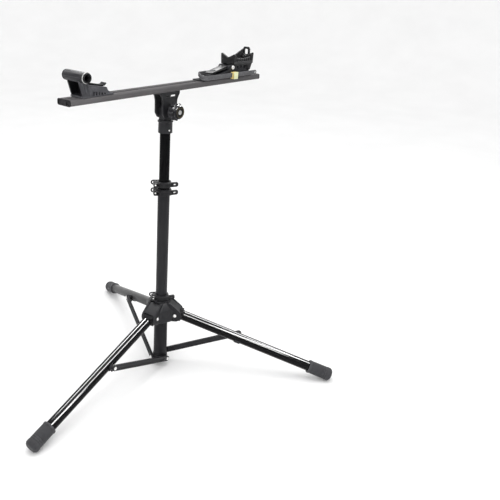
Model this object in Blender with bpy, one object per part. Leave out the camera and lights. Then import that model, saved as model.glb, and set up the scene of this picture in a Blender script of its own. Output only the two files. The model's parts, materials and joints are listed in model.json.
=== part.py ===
"""Folding bike repair stand, with a fork mount and a bottom bracket cradle on its beam.

Run with: blender --background --python part.py
Metres, +Z up. X runs along the beam, from the fork mount to the cradle. The floor is at Z = 0, and the
origin is on it, under the middle of the stand. The stand is open, as for use.
"""

import math

import bmesh
import bpy
from mathutils import Matrix, Vector

# Where the mast's axis stands from the origin.
MAST_X = 0.0756
MAST_Y = -0.0294

GAP = 0.0003  # between pieces that touch
FIT = 0.0004  # round a tube that slides or turns
SIDES = 24  # of a large round piece

# Legs and their linkage.
HUB_Z = 0.189  # height of the leg pivots
PIVOT_R = 0.0458  # leg pivot from the mast's axis
LEG_LENGTH = 0.520  # leg pivot to the end of the boot
LEG_SPREAD = math.radians(70.57)  # from straight down
LEG_AZIMUTHS = (186.6, 306.6, 66.6)
LEG_R = 0.0152
BOOT_R = 0.0202
BOOT_LENGTH = 0.075
STRUT_PLACE = 0.210  # strut pivot along the leg
STRUT_SIDE = 0.023  # the strut's inner face, beside the leg's middle plane
STRUT_THICK = 0.008
STRUT_R = 0.0085  # half of the strut's depth, and its end radius
COLLAR_Z = 0.0286  # height of the lower strut pivots
PIN_R = 0.003
PIN_HEAD_R = 0.0055
PIN_HEAD = 0.0022

# Mast: three tubes, each in the one below.
OUTER_R, OUTER_BORE = 0.0175, 0.0163
MIDDLE_R, MIDDLE_BORE = 0.0160, 0.0150
INNER_R, INNER_BORE = 0.0147, 0.0135
OUTER_TOP = 0.589
MIDDLE_TOP = 0.613
MIDDLE_LENGTH = 0.500
INNER_TOP = 0.780
INNER_LENGTH = 0.500
SLEEVE_R = 0.0207
CLAMP_HEIGHT = 0.016
CLAMP_FACING = 145.0  # azimuth of the clamps' ears
LEVER_PIVOT = (0.0262, 0.0125)  # of a tube clamp's lever, seen from its band
LOWER_CLAMP_Z = 0.5795
UPPER_CLAMP_Z = 0.6030

# Hub.
HUB_LOW, HUB_HIGH = 0.157, 0.233
HUB_CORE_R = 0.0255
SLEEVE_DEPTH = 0.012  # of the sleeve in the hub
SLOT_HALF = 0.0183  # half the width between two hub cheeks
CHEEK_HALF = 0.0240
EAR_R = 0.0200
WEB_OUT, WEB_HALF = 0.0365, 0.0160  # the webs between the legs' cheeks

# Beam, and everything on it, with heights counted from the beam's top face.
BEAM_TOP = 0.8819
BEAM_LOW_X, BEAM_HIGH_X = -0.343, 0.386
BEAM_HALF = 0.024
BEAM_THICK = 0.015
CAP_THICK = 0.0032
TILT_W = -0.066  # height of the tilt axis from the beam's top face
BARREL_U, BARREL_W = -0.303, 0.050
FORK_LEVER_AT = (-0.2815, 0.0327)
CRADLE_LEVER_AT = (0.2525, 0.0300)
BUCKLE_LEVER_AT = (-0.0386, 0.0172)
STRAP_V = 0.0310  # the strap's runs, either side of the slider
STRAP_LOW, STRAP_HIGH = 0.0034, 0.0162
STRAP_RISE = 0.0026  # how much higher the strap's far run is than its near one
STRAP_HALF = 0.0013
TILT_BORE = 0.0043

# colour, roughness, metallic
FINISHES = {
    "gloss_black": ((0.012, 0.012, 0.014), 0.22, 0.6),
    "satin_black": ((0.035, 0.035, 0.040), 0.45, 0.6),
    "beam_grey": ((0.16, 0.15, 0.155), 0.42, 0.8),
    "black_plastic": ((0.030, 0.030, 0.033), 0.55, 0.0),
    "grey_plastic": ((0.060, 0.060, 0.066), 0.55, 0.0),
    "dark_rubber": ((0.040, 0.040, 0.043), 0.85, 0.0),
    "strap_grey": ((0.17, 0.17, 0.175), 0.75, 0.0),
    "steel": ((0.75, 0.75, 0.74), 0.25, 1.0),
    "yellow_plastic": ((0.80, 0.62, 0.10), 0.45, 0.0),
}


def clear_scene():
    for item in list(bpy.data.objects):
        bpy.data.objects.remove(item)


def arc(centre, radius, start, end, steps):
    """Points on an arc, from the start angle to the end angle in degrees."""
    turns = [math.radians(start + (end - start) * i / steps) for i in range(steps + 1)]
    return [(centre[0] + radius * math.cos(t), centre[1] + radius * math.sin(t)) for t in turns]


def closed_mesh(bm):
    bmesh.ops.recalc_face_normals(bm, faces=bm.faces)
    mesh = bpy.data.meshes.new("shape")
    bm.to_mesh(mesh)
    bm.free()
    return mesh


def prism(outline, low, high, across="Z"):
    """A solid with this outline in two axes, from low to high along the third."""
    place = {
        "X": lambda a, b, h: (h, a, b),
        "Y": lambda a, b, h: (a, h, b),
        "Z": lambda a, b, h: (a, b, h),
    }[across]
    bm = bmesh.new()
    bottom = [bm.verts.new(place(a, b, low)) for a, b in outline]
    top = [bm.verts.new(place(a, b, high)) for a, b in outline]
    bm.faces.new(bottom)
    bm.faces.new(top)
    for i in range(len(outline)):
        j = (i + 1) % len(outline)
        bm.faces.new((bottom[i], bottom[j], top[j], top[i]))
    return closed_mesh(bm)


def block(low, high):
    """A box between two corners."""
    outline = [(low[0], low[1]), (high[0], low[1]), (high[0], high[1]), (low[0], high[1])]
    return prism(outline, low[2], high[2])


def turned(profile, across="Z", centre=(0, 0), sides=SIDES):
    """A solid of revolution. The profile's (radius, height) points start and end on the axis, or close."""
    order = {"X": (2, 0, 1), "Y": (0, 2, 1), "Z": (0, 1, 2)}[across]
    bm = bmesh.new()
    rings = []
    for radius, height in profile:
        count = sides if radius > 0 else 1
        ring = []
        for i in range(count):
            angle = 2 * math.pi * i / sides
            spot = (
                centre[0] + radius * math.cos(angle),
                centre[1] + radius * math.sin(angle),
                height,
            )
            ring.append(bm.verts.new([spot[n] for n in order]))
        rings.append(ring)
    pairs = list(zip(rings, rings[1:]))
    if profile[0][0] > 0:
        pairs.append((rings[-1], rings[0]))
    for first, second in pairs:
        for i in range(sides):
            j = (i + 1) % sides
            corners = [first[i % len(first)], first[j % len(first)]]
            corners += [second[j % len(second)], second[i % len(second)]]
            bm.faces.new(list(dict.fromkeys(corners)))
    return closed_mesh(bm)


def rod(radius, low, high, across="Z", centre=(0, 0), sides=16):
    return turned([(0, low), (radius, low), (radius, high), (0, high)], across, centre, sides)


def tube(radius, bore, low, high, across="Z", centre=(0, 0), sides=SIDES):
    return turned([(radius, low), (radius, high), (bore, high), (bore, low)], across, centre, sides)


def combined(base, tools, operation):
    """The base with each tool joined to it or cut from it."""
    for tool in tools:
        body = bpy.data.objects.new("body", base)
        other = bpy.data.objects.new("tool", tool)
        for item in (body, other):
            bpy.context.scene.collection.objects.link(item)
        modifier = body.modifiers.new("shape", "BOOLEAN")
        modifier.operation = operation
        modifier.solver = "EXACT"
        modifier.object = other
        graph = bpy.context.evaluated_depsgraph_get()
        result = bpy.data.meshes.new_from_object(body.evaluated_get(graph))
        for item in (body, other):
            bpy.data.objects.remove(item)
        for mesh in (base, tool):
            bpy.data.meshes.remove(mesh)
        base = result
    return base


def joined(base, *tools):
    return combined(base, tools, "UNION")


def cut(base, *tools):
    return combined(base, tools, "DIFFERENCE")


def moved(mesh, x=0.0, y=0.0, z=0.0):
    mesh.transform(Matrix.Translation((x, y, z)))
    return mesh


def turned_about_z(mesh, degrees):
    mesh.transform(Matrix.Rotation(math.radians(degrees), 4, "Z"))
    return mesh


def finish(name, kind):
    colour, roughness, metallic = FINISHES[kind]
    material = bpy.data.materials.new(name)
    material.use_nodes = True
    shader = material.node_tree.nodes["Principled BSDF"]
    shader.inputs["Base Color"].default_value = (*colour, 1)
    shader.inputs["Roughness"].default_value = roughness
    shader.inputs["Metallic"].default_value = metallic
    material.diffuse_color = (*colour, 1)
    return material


def station(name, place, parent=None, rotation=(0, 0, 0), local=False):
    """An empty on a joint's axis. Unless local, its place counts from the mast's axis at the floor."""
    empty = bpy.data.objects.new(name, None)
    empty.empty_display_size = 0.02
    bpy.context.scene.collection.objects.link(empty)
    empty["place"] = place
    origin = Vector(parent["place"]) if parent else Vector((-MAST_X, -MAST_Y, 0))
    empty.location = place if local else Vector(place) - origin
    empty.rotation_euler = rotation
    empty.parent = parent
    return empty


def add(name, mesh, kind, parent, local=False):
    """Puts a mesh in the scene as a named sub-part. Unless local, its points count from the mast's axis."""
    mesh.name = name
    if not local:
        moved(mesh, *(-Vector(parent["place"])))
    mesh.shade_smooth()
    mesh.set_sharp_from_angle(angle=math.radians(35))
    item = bpy.data.objects.new(name, mesh)
    mesh.materials.clear()
    mesh.materials.append(finish(name, kind))
    bpy.context.scene.collection.objects.link(item)
    item.parent = parent
    return item


def on_beam(mesh):
    """Lifts a mesh whose heights count from the beam's top face."""
    return moved(mesh, z=BEAM_TOP)


def headed_pin(low, high, head_low, head_high, radius=PIN_R, head=PIN_HEAD_R, centre=(0, 0)):
    """A round pin along Y, with a head on one side or on both."""
    profile = [(0, low)]
    if head_low:
        profile += [(head, low), (head, low + head_low)]
    profile += [(radius, low + head_low), (radius, high - head_high)]
    if head_high:
        profile += [(head, high - head_high), (head, high)]
    return turned(profile + [(0, high)], "Y", centre, 12)


def hub_body_mesh():
    """The core round the mast, with a slotted lobe for each leg and a sloping web between each two."""
    bore, socket, step = OUTER_R + FIT, SLEEVE_R + GAP, HUB_LOW + SLEEVE_DEPTH
    core = [(HUB_CORE_R, HUB_LOW), (HUB_CORE_R, HUB_HIGH), (bore, HUB_HIGH)]
    core += [(bore, step), (socket, step), (socket, HUB_LOW)]
    lobe = [(0.022, HUB_Z - EAR_R), (PIVOT_R, HUB_Z - EAR_R)]
    lobe += arc((PIVOT_R, HUB_Z), EAR_R, -75, 48, 8)
    lobe += [(0.027, HUB_HIGH - 0.001), (0.022, HUB_HIGH - 0.001)]
    web = [(0.021, HUB_Z - 0.018), (WEB_OUT, HUB_Z - 0.018), (WEB_OUT, HUB_Z + 0.020)]
    web += [(0.027, HUB_HIGH - 0.001), (0.021, HUB_HIGH - 0.001)]
    body = turned(core)
    for azimuth in LEG_AZIMUTHS:
        side = turned_about_z(prism(web, -WEB_HALF, WEB_HALF, "Y"), azimuth + 60)
        ear = turned_about_z(prism(lobe, -CHEEK_HALF, CHEEK_HALF, "Y"), azimuth)
        body = joined(body, side, ear)
    for azimuth in LEG_AZIMUTHS:
        slot = block((HUB_CORE_R + 0.0015, -SLOT_HALF, 0.12), (0.09, SLOT_HALF, 0.27))
        hole = rod(PIN_R + GAP, -0.03, 0.03, "Y", (PIVOT_R, HUB_Z), 12)
        body = cut(body, turned_about_z(slot, azimuth), turned_about_z(hole, azimuth))
    return cut(body, rod(bore, 0.1, 0.3, sides=SIDES), rod(socket, 0.1, step, sides=SIDES))


def clamp_band_mesh(tube_radius):
    """A split ring with two ears along +X, centred on Z = 0."""
    inner = tube_radius + FIT
    outer = inner + 0.0036
    slit, ear, reach = 0.0012, 0.0060, 0.0300
    at_ear = math.degrees(math.asin(ear / outer))
    at_slit = math.degrees(math.asin(slit / inner))
    outline = [(reach, slit), (reach, ear)]
    outline += arc((0, 0), outer, at_ear, 360 - at_ear, 24)
    outline += [(reach, -ear), (reach, -slit)]
    outline += arc((0, 0), inner, 360 - at_slit, at_slit, 24)
    band = prism(outline, -CLAMP_HEIGHT / 2, CLAMP_HEIGHT / 2)
    return cut(band, rod(0.0028, -0.01, 0.01, "Y", (LEVER_PIVOT[0], 0), 12))


def clamp_bolt_mesh():
    """The clamp's bolt along Y, with a head at one end and a cross barrel in the lever at the other."""
    shank = [(0, -0.0100), (0.0045, -0.0100), (0.0045, -0.0064), (0.0025, -0.0064)]
    shank += [(0.0025, LEVER_PIVOT[1]), (0, LEVER_PIVOT[1])]
    barrel = rod(0.0026, -0.0064, 0.0064, centre=LEVER_PIVOT, sides=12)
    return joined(turned(shank, "Y", (LEVER_PIVOT[0], 0), 12), barrel)


def clamp_lever_mesh(tube_radius):
    """The lever round the front of the band, with its free end standing off."""
    inner = tube_radius + 0.0048
    outer = inner + 0.0034
    outline = arc(LEVER_PIVOT, 0.0053, -120, 70, 8)
    outline += arc((0, 0), outer, 48, 138, 12)
    outline += [(-0.0395, 0.0118), (-0.0410, 0.0100), (-0.0412, 0.0072), (-0.0400, 0.0060)]
    outline += arc((0, 0), inner, 158, 34, 12)
    lever = prism(outline, -0.0066, 0.0066)
    fork = rod(0.0085, -0.0029, 0.0029, centre=LEVER_PIVOT)
    return cut(lever, fork, rod(0.0029, -0.01, 0.01, centre=LEVER_PIVOT, sides=12))


def add_clamp(name, height, tube_radius, carrier):
    """A quick-release tube clamp on its carrier, and its lever on a station of its own."""
    centre = Vector((0, 0, height))
    for label, mesh, kind in (
        ("band", clamp_band_mesh(tube_radius), "black_plastic"),
        ("bolt", clamp_bolt_mesh(), "steel"),
    ):
        turned_about_z(mesh, CLAMP_FACING)
        add(f"{name}_{label}", moved(mesh, *centre), kind, carrier)
    pivot = Matrix.Rotation(math.radians(CLAMP_FACING), 4, "Z") @ Vector((*LEVER_PIVOT, 0))
    hinge = station(f"{name}_lever_hinge", centre + pivot, carrier)
    lever = turned_about_z(clamp_lever_mesh(tube_radius), CLAMP_FACING)
    add(f"{name}_lever", moved(lever, *centre), "black_plastic", hinge)


def collar_mesh():
    """The cup that closes the mast's foot, between the struts' lower ends."""
    low, high = COLLAR_Z - 0.0130, COLLAR_Z + 0.0110
    cup = [(0, low), (0.0200, low), (0.0225, low + 0.0025), (0.0225, high)]
    cup += [(OUTER_R + GAP, high), (OUTER_R + GAP, low + 0.004), (0, low + 0.004)]
    return turned(cup)


def knuckle_mesh():
    """The plastic end of a leg, round about its pivot, with a spigot in the tube."""
    eye_r = 0.0165
    outline = arc((0, 0), eye_r, 75, 285, 12) + [(0.0240, -LEG_R), (0.0240, LEG_R)]
    body = prism(outline, -0.0178, 0.0178, "Y")
    body = joined(body, rod(0.0134, 0.020, 0.046, "X"))
    return cut(body, rod(PIN_R + GAP, -0.03, 0.03, "Y"))


def boot_mesh(to_leg):
    """The rubber boot, cut flat where it stands on the floor."""
    low = LEG_LENGTH - BOOT_LENGTH
    fillet = 0.0085
    profile = [(BOOT_R - 0.001, low), (BOOT_R, low + 0.002)]
    profile += [(r, x) for x, r in arc((LEG_LENGTH - fillet, BOOT_R - fillet), fillet, 90, 0, 3)]
    profile += [(0, LEG_LENGTH), (0, LEG_LENGTH - 0.012)]
    profile += [(LEG_R + GAP, LEG_LENGTH - 0.012), (LEG_R + GAP, low)]
    boot = revolved_open(profile)
    floor = block((-1, -1, -0.2), (1, 1, 0))
    floor.transform(to_leg)
    return cut(boot, floor)


def revolved_open(profile):
    """A cup along X: the profile runs from its outer rim over the closed end, and back up the bore."""
    start = max(i for i, (radius, _) in enumerate(profile) if radius == 0)
    return turned(profile[start:] + profile[:start], "X")


def clip_mesh():
    """The band round a leg that carries the strut's pivot."""
    half = 0.009
    band = tube(0.0180, LEG_R + GAP, STRUT_PLACE - half, STRUT_PLACE + half, "X")
    boss = rod(0.0085, 0.0160, STRUT_SIDE - GAP, "Y", (STRUT_PLACE, 0))
    body = joined(band, boss)
    return cut(body, rod(PIN_R + GAP, 0.0172, 0.03, "Y", (STRUT_PLACE, 0)))


def strut_mesh(length):
    outline = arc((0, 0), STRUT_R, 90, 270, 8) + arc((length, 0), STRUT_R, -90, 90, 8)
    bar = prism(outline, STRUT_SIDE, STRUT_SIDE + STRUT_THICK, "Y")
    holes = [rod(PIN_R + GAP, 0, 0.05, "Y", (x, 0)) for x in (0, length)]
    return cut(bar, *holes)


def add_legs(stand):
    head_out = STRUT_SIDE + STRUT_THICK + GAP + PIN_HEAD
    reach = PIVOT_R + STRUT_PLACE * math.sin(LEG_SPREAD)
    drop = HUB_Z - STRUT_PLACE * math.cos(LEG_SPREAD) - COLLAR_Z
    length = math.hypot(reach, drop)
    strut_turn = math.pi / 2 + math.atan2(reach, drop)
    leg_turn = math.pi / 2 - LEG_SPREAD
    leg_tube = tube(LEG_R, LEG_R - 0.0014, 0.0243, LEG_LENGTH - 0.0124, "X")
    for number, azimuth in enumerate(LEG_AZIMUTHS, 1):
        heading = math.radians(azimuth)
        place = (PIVOT_R * math.cos(heading), PIVOT_R * math.sin(heading), HUB_Z)
        pin = moved(headed_pin(-0.0265, 0.0265, PIN_HEAD, PIN_HEAD), x=PIVOT_R, z=HUB_Z)
        add(f"leg_pin_{number}", turned_about_z(pin, azimuth), "steel", stand)
        hinge = station(f"leg_{number}_hinge", place, stand, (0, leg_turn, heading))
        to_leg = (Matrix.Translation(place) @ hinge.rotation_euler.to_matrix().to_4x4()).inverted()
        add(f"leg_knuckle_{number}", knuckle_mesh(), "black_plastic", hinge, True)
        add(f"leg_tube_{number}", leg_tube.copy(), "gloss_black", hinge, True)
        add(f"leg_boot_{number}", boot_mesh(to_leg), "dark_rubber", hinge, True)
        add(f"strut_clip_{number}", clip_mesh(), "black_plastic", hinge, True)
        pivot = headed_pin(0.0175, head_out, 0, PIN_HEAD, centre=(STRUT_PLACE, 0))
        add(f"strut_pin_{number}", pivot, "steel", hinge, True)
        along = (STRUT_PLACE, 0, 0)
        link = station(f"strut_{number}_hinge", along, hinge, (0, strut_turn - leg_turn, 0), True)
        add(f"strut_{number}", strut_mesh(length), "satin_black", link, True)
        lower = headed_pin(STRUT_SIDE - 0.0001, head_out, 0, PIN_HEAD, centre=(length, 0))
        add(f"collar_pin_{number}", lower, "steel", link, True)
    bpy.data.meshes.remove(leg_tube)


def yoke_mesh():
    """The channel that holds the beam: a top plate with a rail in the beam's slot, and two cheeks."""
    low_u, high_u, top = -0.0355, 0.0375, -BEAM_THICK - GAP
    outline = [(high_u, top), (low_u, top), (low_u, -0.0215), (-0.0305, -0.0275), (-0.0275, -0.0400)]
    outline += [(-0.0272, -0.0735), (-0.0180, -0.0872), (0.0180, -0.0872), (0.0272, -0.0735)]
    outline += [(0.0280, -0.0400), (0.0310, -0.0330), (high_u, -0.0225)]
    body = prism(outline, -0.0165, 0.0165, "Y")
    body = cut(body, block((-0.06, -0.0108, -0.10), (0.06, 0.0108, top - 0.006)))
    body = cut(body, block((-0.0150, -0.04, -0.0296), (0.0230, -0.01, -0.0250)))
    neck, head = 0.0051, 0.0081
    rail = [(-neck, top - 0.002), (neck, top - 0.002), (neck, -0.0129), (head, -0.0129)]
    rail += [(head, -0.0106), (-head, -0.0106), (-head, -0.0129), (-neck, -0.0129)]
    body = joined(body, prism(rail, low_u + 0.003, high_u - 0.003, "X"))
    return cut(body, rod(TILT_BORE, -0.05, 0.05, "Y", (0, TILT_W)))


def socket_mesh():
    """The head on the mast: a round socket with a tongue between the yoke's cheeks."""
    lip = -0.0949
    outline = arc((0, TILT_W), 0.0165, 0, 180, 10) + [(-0.0165, lip - 0.003), (0.0165, lip - 0.003)]
    tongue = prism(outline, -0.0103, 0.0103, "Y")
    foot = lip - 0.035
    cup = [(0, lip), (0.0212, lip), (0.0212, lip - 0.004), (0.0200, lip - 0.005), (0.0200, foot), (0, foot)]
    body = joined(turned(cup), tongue)
    body = cut(body, rod(TILT_BORE, -0.05, 0.05, "Y", (0, TILT_W)))
    return cut(body, rod(INNER_R + FIT, -0.2, INNER_TOP + 0.002 - BEAM_TOP, sides=SIDES))


def tilt_bolt_mesh():
    nut = turned([(0, 0.0168), (0.0075, 0.0168), (0.0075, 0.0225), (0, 0.0225)], "Y", (0, TILT_W), 6)
    return joined(rod(0.0040, -0.0440, 0.0200, "Y", (0, TILT_W)), nut)


def knob_mesh():
    """A lobed hand knob on the tilt bolt."""
    lobes, points = 10, 60
    outline = []
    for i in range(points):
        angle = 2 * math.pi * i / points
        radius = 0.0234 + 0.0011 * math.cos(lobes * angle)
        outline.append((radius * math.cos(angle), TILT_W + radius * math.sin(angle)))
    body = prism(outline, -0.0525, -0.0265, "Y")
    body = joined(body, rod(0.0115, -0.0270, -0.0168, "Y", (0, TILT_W), 24))
    return cut(body, rod(TILT_BORE, -0.0445, 0, "Y", (0, TILT_W)))


def beam_mesh():
    """The extruded beam: a narrow groove on top, a wide one below, and two hollow chambers."""
    half, low, edge = BEAM_HALF, -BEAM_THICK, 0.0015
    right = [(0.0055, low), (half - edge, low), (half, low + edge), (half, -edge), (half - edge, 0)]
    right += [(0.0038, 0), (0.0038, -0.0018), (0.0065, -0.0018), (0.0065, -0.0045)]
    below = [(0.0085, -0.0102), (0.0085, -0.0132), (0.0055, -0.0132)]
    side = below + right
    outline = side + [(-v, w) for v, w in reversed(side)]
    body = prism(outline, BEAM_LOW_X + CAP_THICK + GAP, BEAM_HIGH_X - CAP_THICK - GAP, "X")
    chambers = [block((-1, v, -0.0120), (1, v + 0.0105, -0.0028)) for v in (0.0108, -0.0213)]
    return cut(body, *chambers)


def beam_cap_mesh(low_x):
    half, low, edge = BEAM_HALF + 0.0004, -BEAM_THICK - 0.0004, 0.002
    top = 0.0004
    outline = [(-half + edge, low), (half - edge, low), (half, low + edge), (half, top - edge)]
    outline += [(half - edge, top), (-half + edge, top), (-half, top - edge), (-half, low + edge)]
    return prism(outline, low_x, low_x + CAP_THICK, "X")


def foot_mesh(low_x, high_x):
    """The T-shaped foot of a slider, in the beam's top groove."""
    neck, head = 0.0035, 0.0062
    outline = [(-neck, 0.0015), (-neck, -0.0021), (-head, -0.0021), (-head, -0.0042)]
    outline += [(head, -0.0042), (head, -0.0021), (neck, -0.0021), (neck, 0.0015)]
    return prism(outline, low_x, high_x, "X")


def fork_upright_mesh():
    """The upright that holds the axle barrel, hollow towards the beam's end."""
    outline = [(-0.3010, GAP), (-0.2790, GAP), (-0.2880, 0.0470), (-0.3160, 0.0440)]
    body = prism(outline, -0.0230, 0.0230, "Y")
    body = joined(body, rod(0.0132, -0.0360, 0.0360, "Y", (BARREL_U, BARREL_W), 24))
    pocket = [(-0.3300, 0.0060), (-0.2890, 0.0060), (-0.2945, 0.0340), (-0.3300, 0.0340)]
    body = cut(body, prism(pocket, -0.0165, 0.0165, "Y"))
    return cut(body, rod(0.0092, -0.1, 0.1, "Y", (BARREL_U, BARREL_W), 24))


def fork_wedge_mesh():
    outline = [(-0.2786, GAP), (-0.2060, GAP), (-0.2060, 0.0035), (-0.2280, 0.0190)]
    outline += [(-0.2280, 0.0205), (-0.2844, 0.0302)]
    body = prism(outline, -0.0215, 0.0215, "Y")
    return joined(body, foot_mesh(-0.2750, -0.2120))


def fork_lever_mesh():
    outline = arc(FORK_LEVER_AT, 0.0020, 80, 260, 6)
    outline += [(-0.2300, 0.0213), (-0.2235, 0.0222), (-0.2160, 0.0275), (-0.2175, 0.0290)]
    outline += [(-0.2245, 0.0252), (-0.2310, 0.0247)]
    return prism(outline, -0.0120, 0.0120, "Y")


def axle_sleeve_mesh():
    """The bored sleeve in the barrel, with a flange at one end and a rounded cap at the other."""
    bore, shank, flange = 0.0062, 0.0089, 0.0120
    profile = [(0, 0.0330), (bore, 0.0330), (bore, -0.0430), (flange - 0.0012, -0.0430)]
    profile += [(flange, -0.0418), (flange, -0.0396), (shank, -0.0396), (shank, 0.0363)]
    profile += [(0.0128, 0.0363), (0.0128, 0.0395), (0.0100, 0.0428), (0, 0.0436)]
    return turned(profile, "Y", (BARREL_U, BARREL_W), 24)


def cradle_base_mesh():
    """The cradle's slider, with two cheeks round the head of its lever."""
    outline = [(0.1280, GAP), (0.3460, GAP), (0.3460, 0.0125), (0.3300, 0.0145), (0.3215, 0.0365)]
    outline += [(0.2435, 0.0365), (0.2385, 0.0305), (0.2385, 0.0222), (0.1730, 0.0068), (0.1680, 0.0030), (0.1280, 0.0030)]
    body = prism(outline, -0.0215, 0.0215, "Y")
    body = cut(body, block((0.2300, -0.0135, 0.0248), (0.2580, 0.0135, 0.06)))
    body = cut(body, rod(PIN_R + GAP, -0.05, 0.05, "Y", CRADLE_LEVER_AT))
    return joined(body, foot_mesh(0.1350, 0.3300))


def cradle_pad_mesh():
    """The rubber rest: a slab with four cross ridges, each notched in a V, and the outer two taller."""
    low, half = 0.0368, 0.0255
    body = block((0.2555, -half, low), (0.3450, half, 0.0440))
    tall = [(-half, low), (half, low), (0.0262, 0.0660), (0.0240, 0.0670), (0, 0.0566)]
    tall += [(-0.0240, 0.0670), (-0.0262, 0.0660)]
    short = [(-half, low), (half, low), (half, 0.0550), (0, 0.0480), (-half, 0.0550)]
    for outline, start, end in (
        (tall, 0.2550, 0.2675),
        (short, 0.2790, 0.2900),
        (short, 0.3105, 0.3215),
        (tall, 0.3330, 0.3455),
    ):
        body = joined(body, prism(outline, start, end, "X"))
    return body


def cradle_tab_mesh():
    """The upright loop at the end of the rest."""
    low_x, high_x = 0.3463, 0.3503
    outline = [(-0.0085, 0.0060), (0.0165, 0.0060), (0.0165, 0.0765), (0.0125, 0.0810)]
    outline += [(-0.0045, 0.0810), (-0.0085, 0.0765)]
    window = block((0.3, -0.0035, 0.0590), (0.4, 0.0115, 0.0755))
    return cut(prism(outline, low_x, high_x, "X"), window)


def cradle_lever_mesh():
    outline = arc(CRADLE_LEVER_AT, 0.0045, -100, 100, 8)
    outline += [(0.2425, 0.0350), (0.1740, 0.0198), (0.1712, 0.0172), (0.1730, 0.0152), (0.2440, 0.0262)]
    lever = prism(outline, -0.0130, 0.0130, "Y")
    return cut(lever, rod(PIN_R + GAP, -0.05, 0.05, "Y", CRADLE_LEVER_AT))


def ribbon_outline(path, half):
    """The outline of a band of this half thickness about a path."""
    left, right = [], []
    for i, point in enumerate(path):
        before, after = path[max(i - 1, 0)], path[min(i + 1, len(path) - 1)]
        along = (Vector(after) - Vector(before)).normalized()
        side = Vector((-along.y, along.x)) * half
        left.append(tuple(Vector(point) + side))
        right.append(tuple(Vector(point) - side))
    return left + right[::-1]


def bend(before, corner, after, radius, steps=5):
    """Points round a corner of this radius."""
    corner = Vector(corner)
    back, on = (Vector(before) - corner).normalized(), (Vector(after) - corner).normalized()
    half = back.angle(on) / 2
    centre = corner + (back + on).normalized() * (radius / math.sin(half))
    first = corner + back * (radius / math.tan(half)) - centre
    start = math.degrees(math.atan2(first.y, first.x))
    swing = math.copysign(180 - 2 * math.degrees(half), -back.cross(on))
    return arc(centre, radius, start, start + swing, steps)


def strap_mesh():
    """The strap on edge: fixed behind, round the slider, and forward through the buckle to its holed tip."""
    far, near = (0.1640, STRAP_V), (0.1110, -STRAP_V)
    path = [(0.3050, 0.0233), (0.2900, 0.0237), (0.2600, 0.0290), (0.2200, STRAP_V)]
    path += bend(path[-1], far, near, 0.010) + bend(far, near, (0.2400, -STRAP_V), 0.010)
    path += [(0.2400, -STRAP_V), (0.3570, -STRAP_V)]
    band = prism(ribbon_outline(path, STRAP_HALF), STRAP_LOW, STRAP_HIGH)
    for vert in band.vertices:
        vert.co.z += STRAP_RISE * (vert.co.y + STRAP_V) / (2 * STRAP_V)
    middle = (STRAP_LOW + STRAP_HIGH) / 2
    return cut(band, rod(0.0028, -0.05, -0.02, "Y", (0.3510, middle), 12))


def buckle_mesh():
    room = STRAP_HALF + 0.0005
    low = (0.2, -STRAP_V - room, STRAP_LOW - 0.0007)
    high = (0.3, room - STRAP_V, STRAP_HIGH + 0.0007)
    return cut(block((0.2355, -0.0372, -0.0030), (0.2645, -0.0247, 0.0184)), block(low, high))


def buckle_lever_mesh():
    outline = arc(BUCKLE_LEVER_AT, 0.0011, 0, 180, 4)
    outline += [(-0.0402, 0.0000), (-0.0392, -0.0013), (-0.0375, 0.0000)]
    return prism(outline, 0.2370, 0.2630, "X")


def add_mast(stand):
    """The mast's tubes and clamps. Returns the station of the innermost tube."""
    mast = station("mast_slide", (0, 0, COLLAR_Z), stand)
    add("outer_tube", tube(OUTER_R, OUTER_BORE, COLLAR_Z - 0.0087, OUTER_TOP), "satin_black", mast)
    add("strut_collar", collar_mesh(), "black_plastic", mast)
    add_clamp("lower_clamp", LOWER_CLAMP_Z, OUTER_R, mast)
    middle = station("middle_slide", (0, 0, OUTER_TOP), mast)
    middle_low = MIDDLE_TOP - MIDDLE_LENGTH
    add("middle_tube", tube(MIDDLE_R, MIDDLE_BORE, middle_low, MIDDLE_TOP), "satin_black", middle)
    add_clamp("upper_clamp", UPPER_CLAMP_Z, MIDDLE_R, middle)
    inner = station("inner_slide", (0, 0, MIDDLE_TOP), middle)
    inner_low = INNER_TOP - INNER_LENGTH
    add("inner_tube", tube(INNER_R, INNER_BORE, inner_low, INNER_TOP), "satin_black", inner)
    return inner


def add_head(inner):
    """The swivelling, tilting head and its knob. Returns the station of the yoke."""
    swivel = station("head_swivel", (0, 0, INNER_TOP), inner)
    add("head_socket", on_beam(socket_mesh()), "black_plastic", swivel)
    tilt = station("head_tilt", (0, 0, BEAM_TOP + TILT_W), swivel)
    add("head_yoke", on_beam(yoke_mesh()), "black_plastic", tilt)
    add("tilt_bolt", on_beam(tilt_bolt_mesh()), "steel", tilt)
    knob = station("knob_turn", (0, -0.0265, BEAM_TOP + TILT_W), tilt)
    add("tilt_knob", on_beam(knob_mesh()), "black_plastic", knob)
    cap = rod(0.0150, -0.0555, -0.0528, "Y", (0, TILT_W), 24)
    add("knob_cap", on_beam(cap), "grey_plastic", knob)
    return tilt


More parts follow.
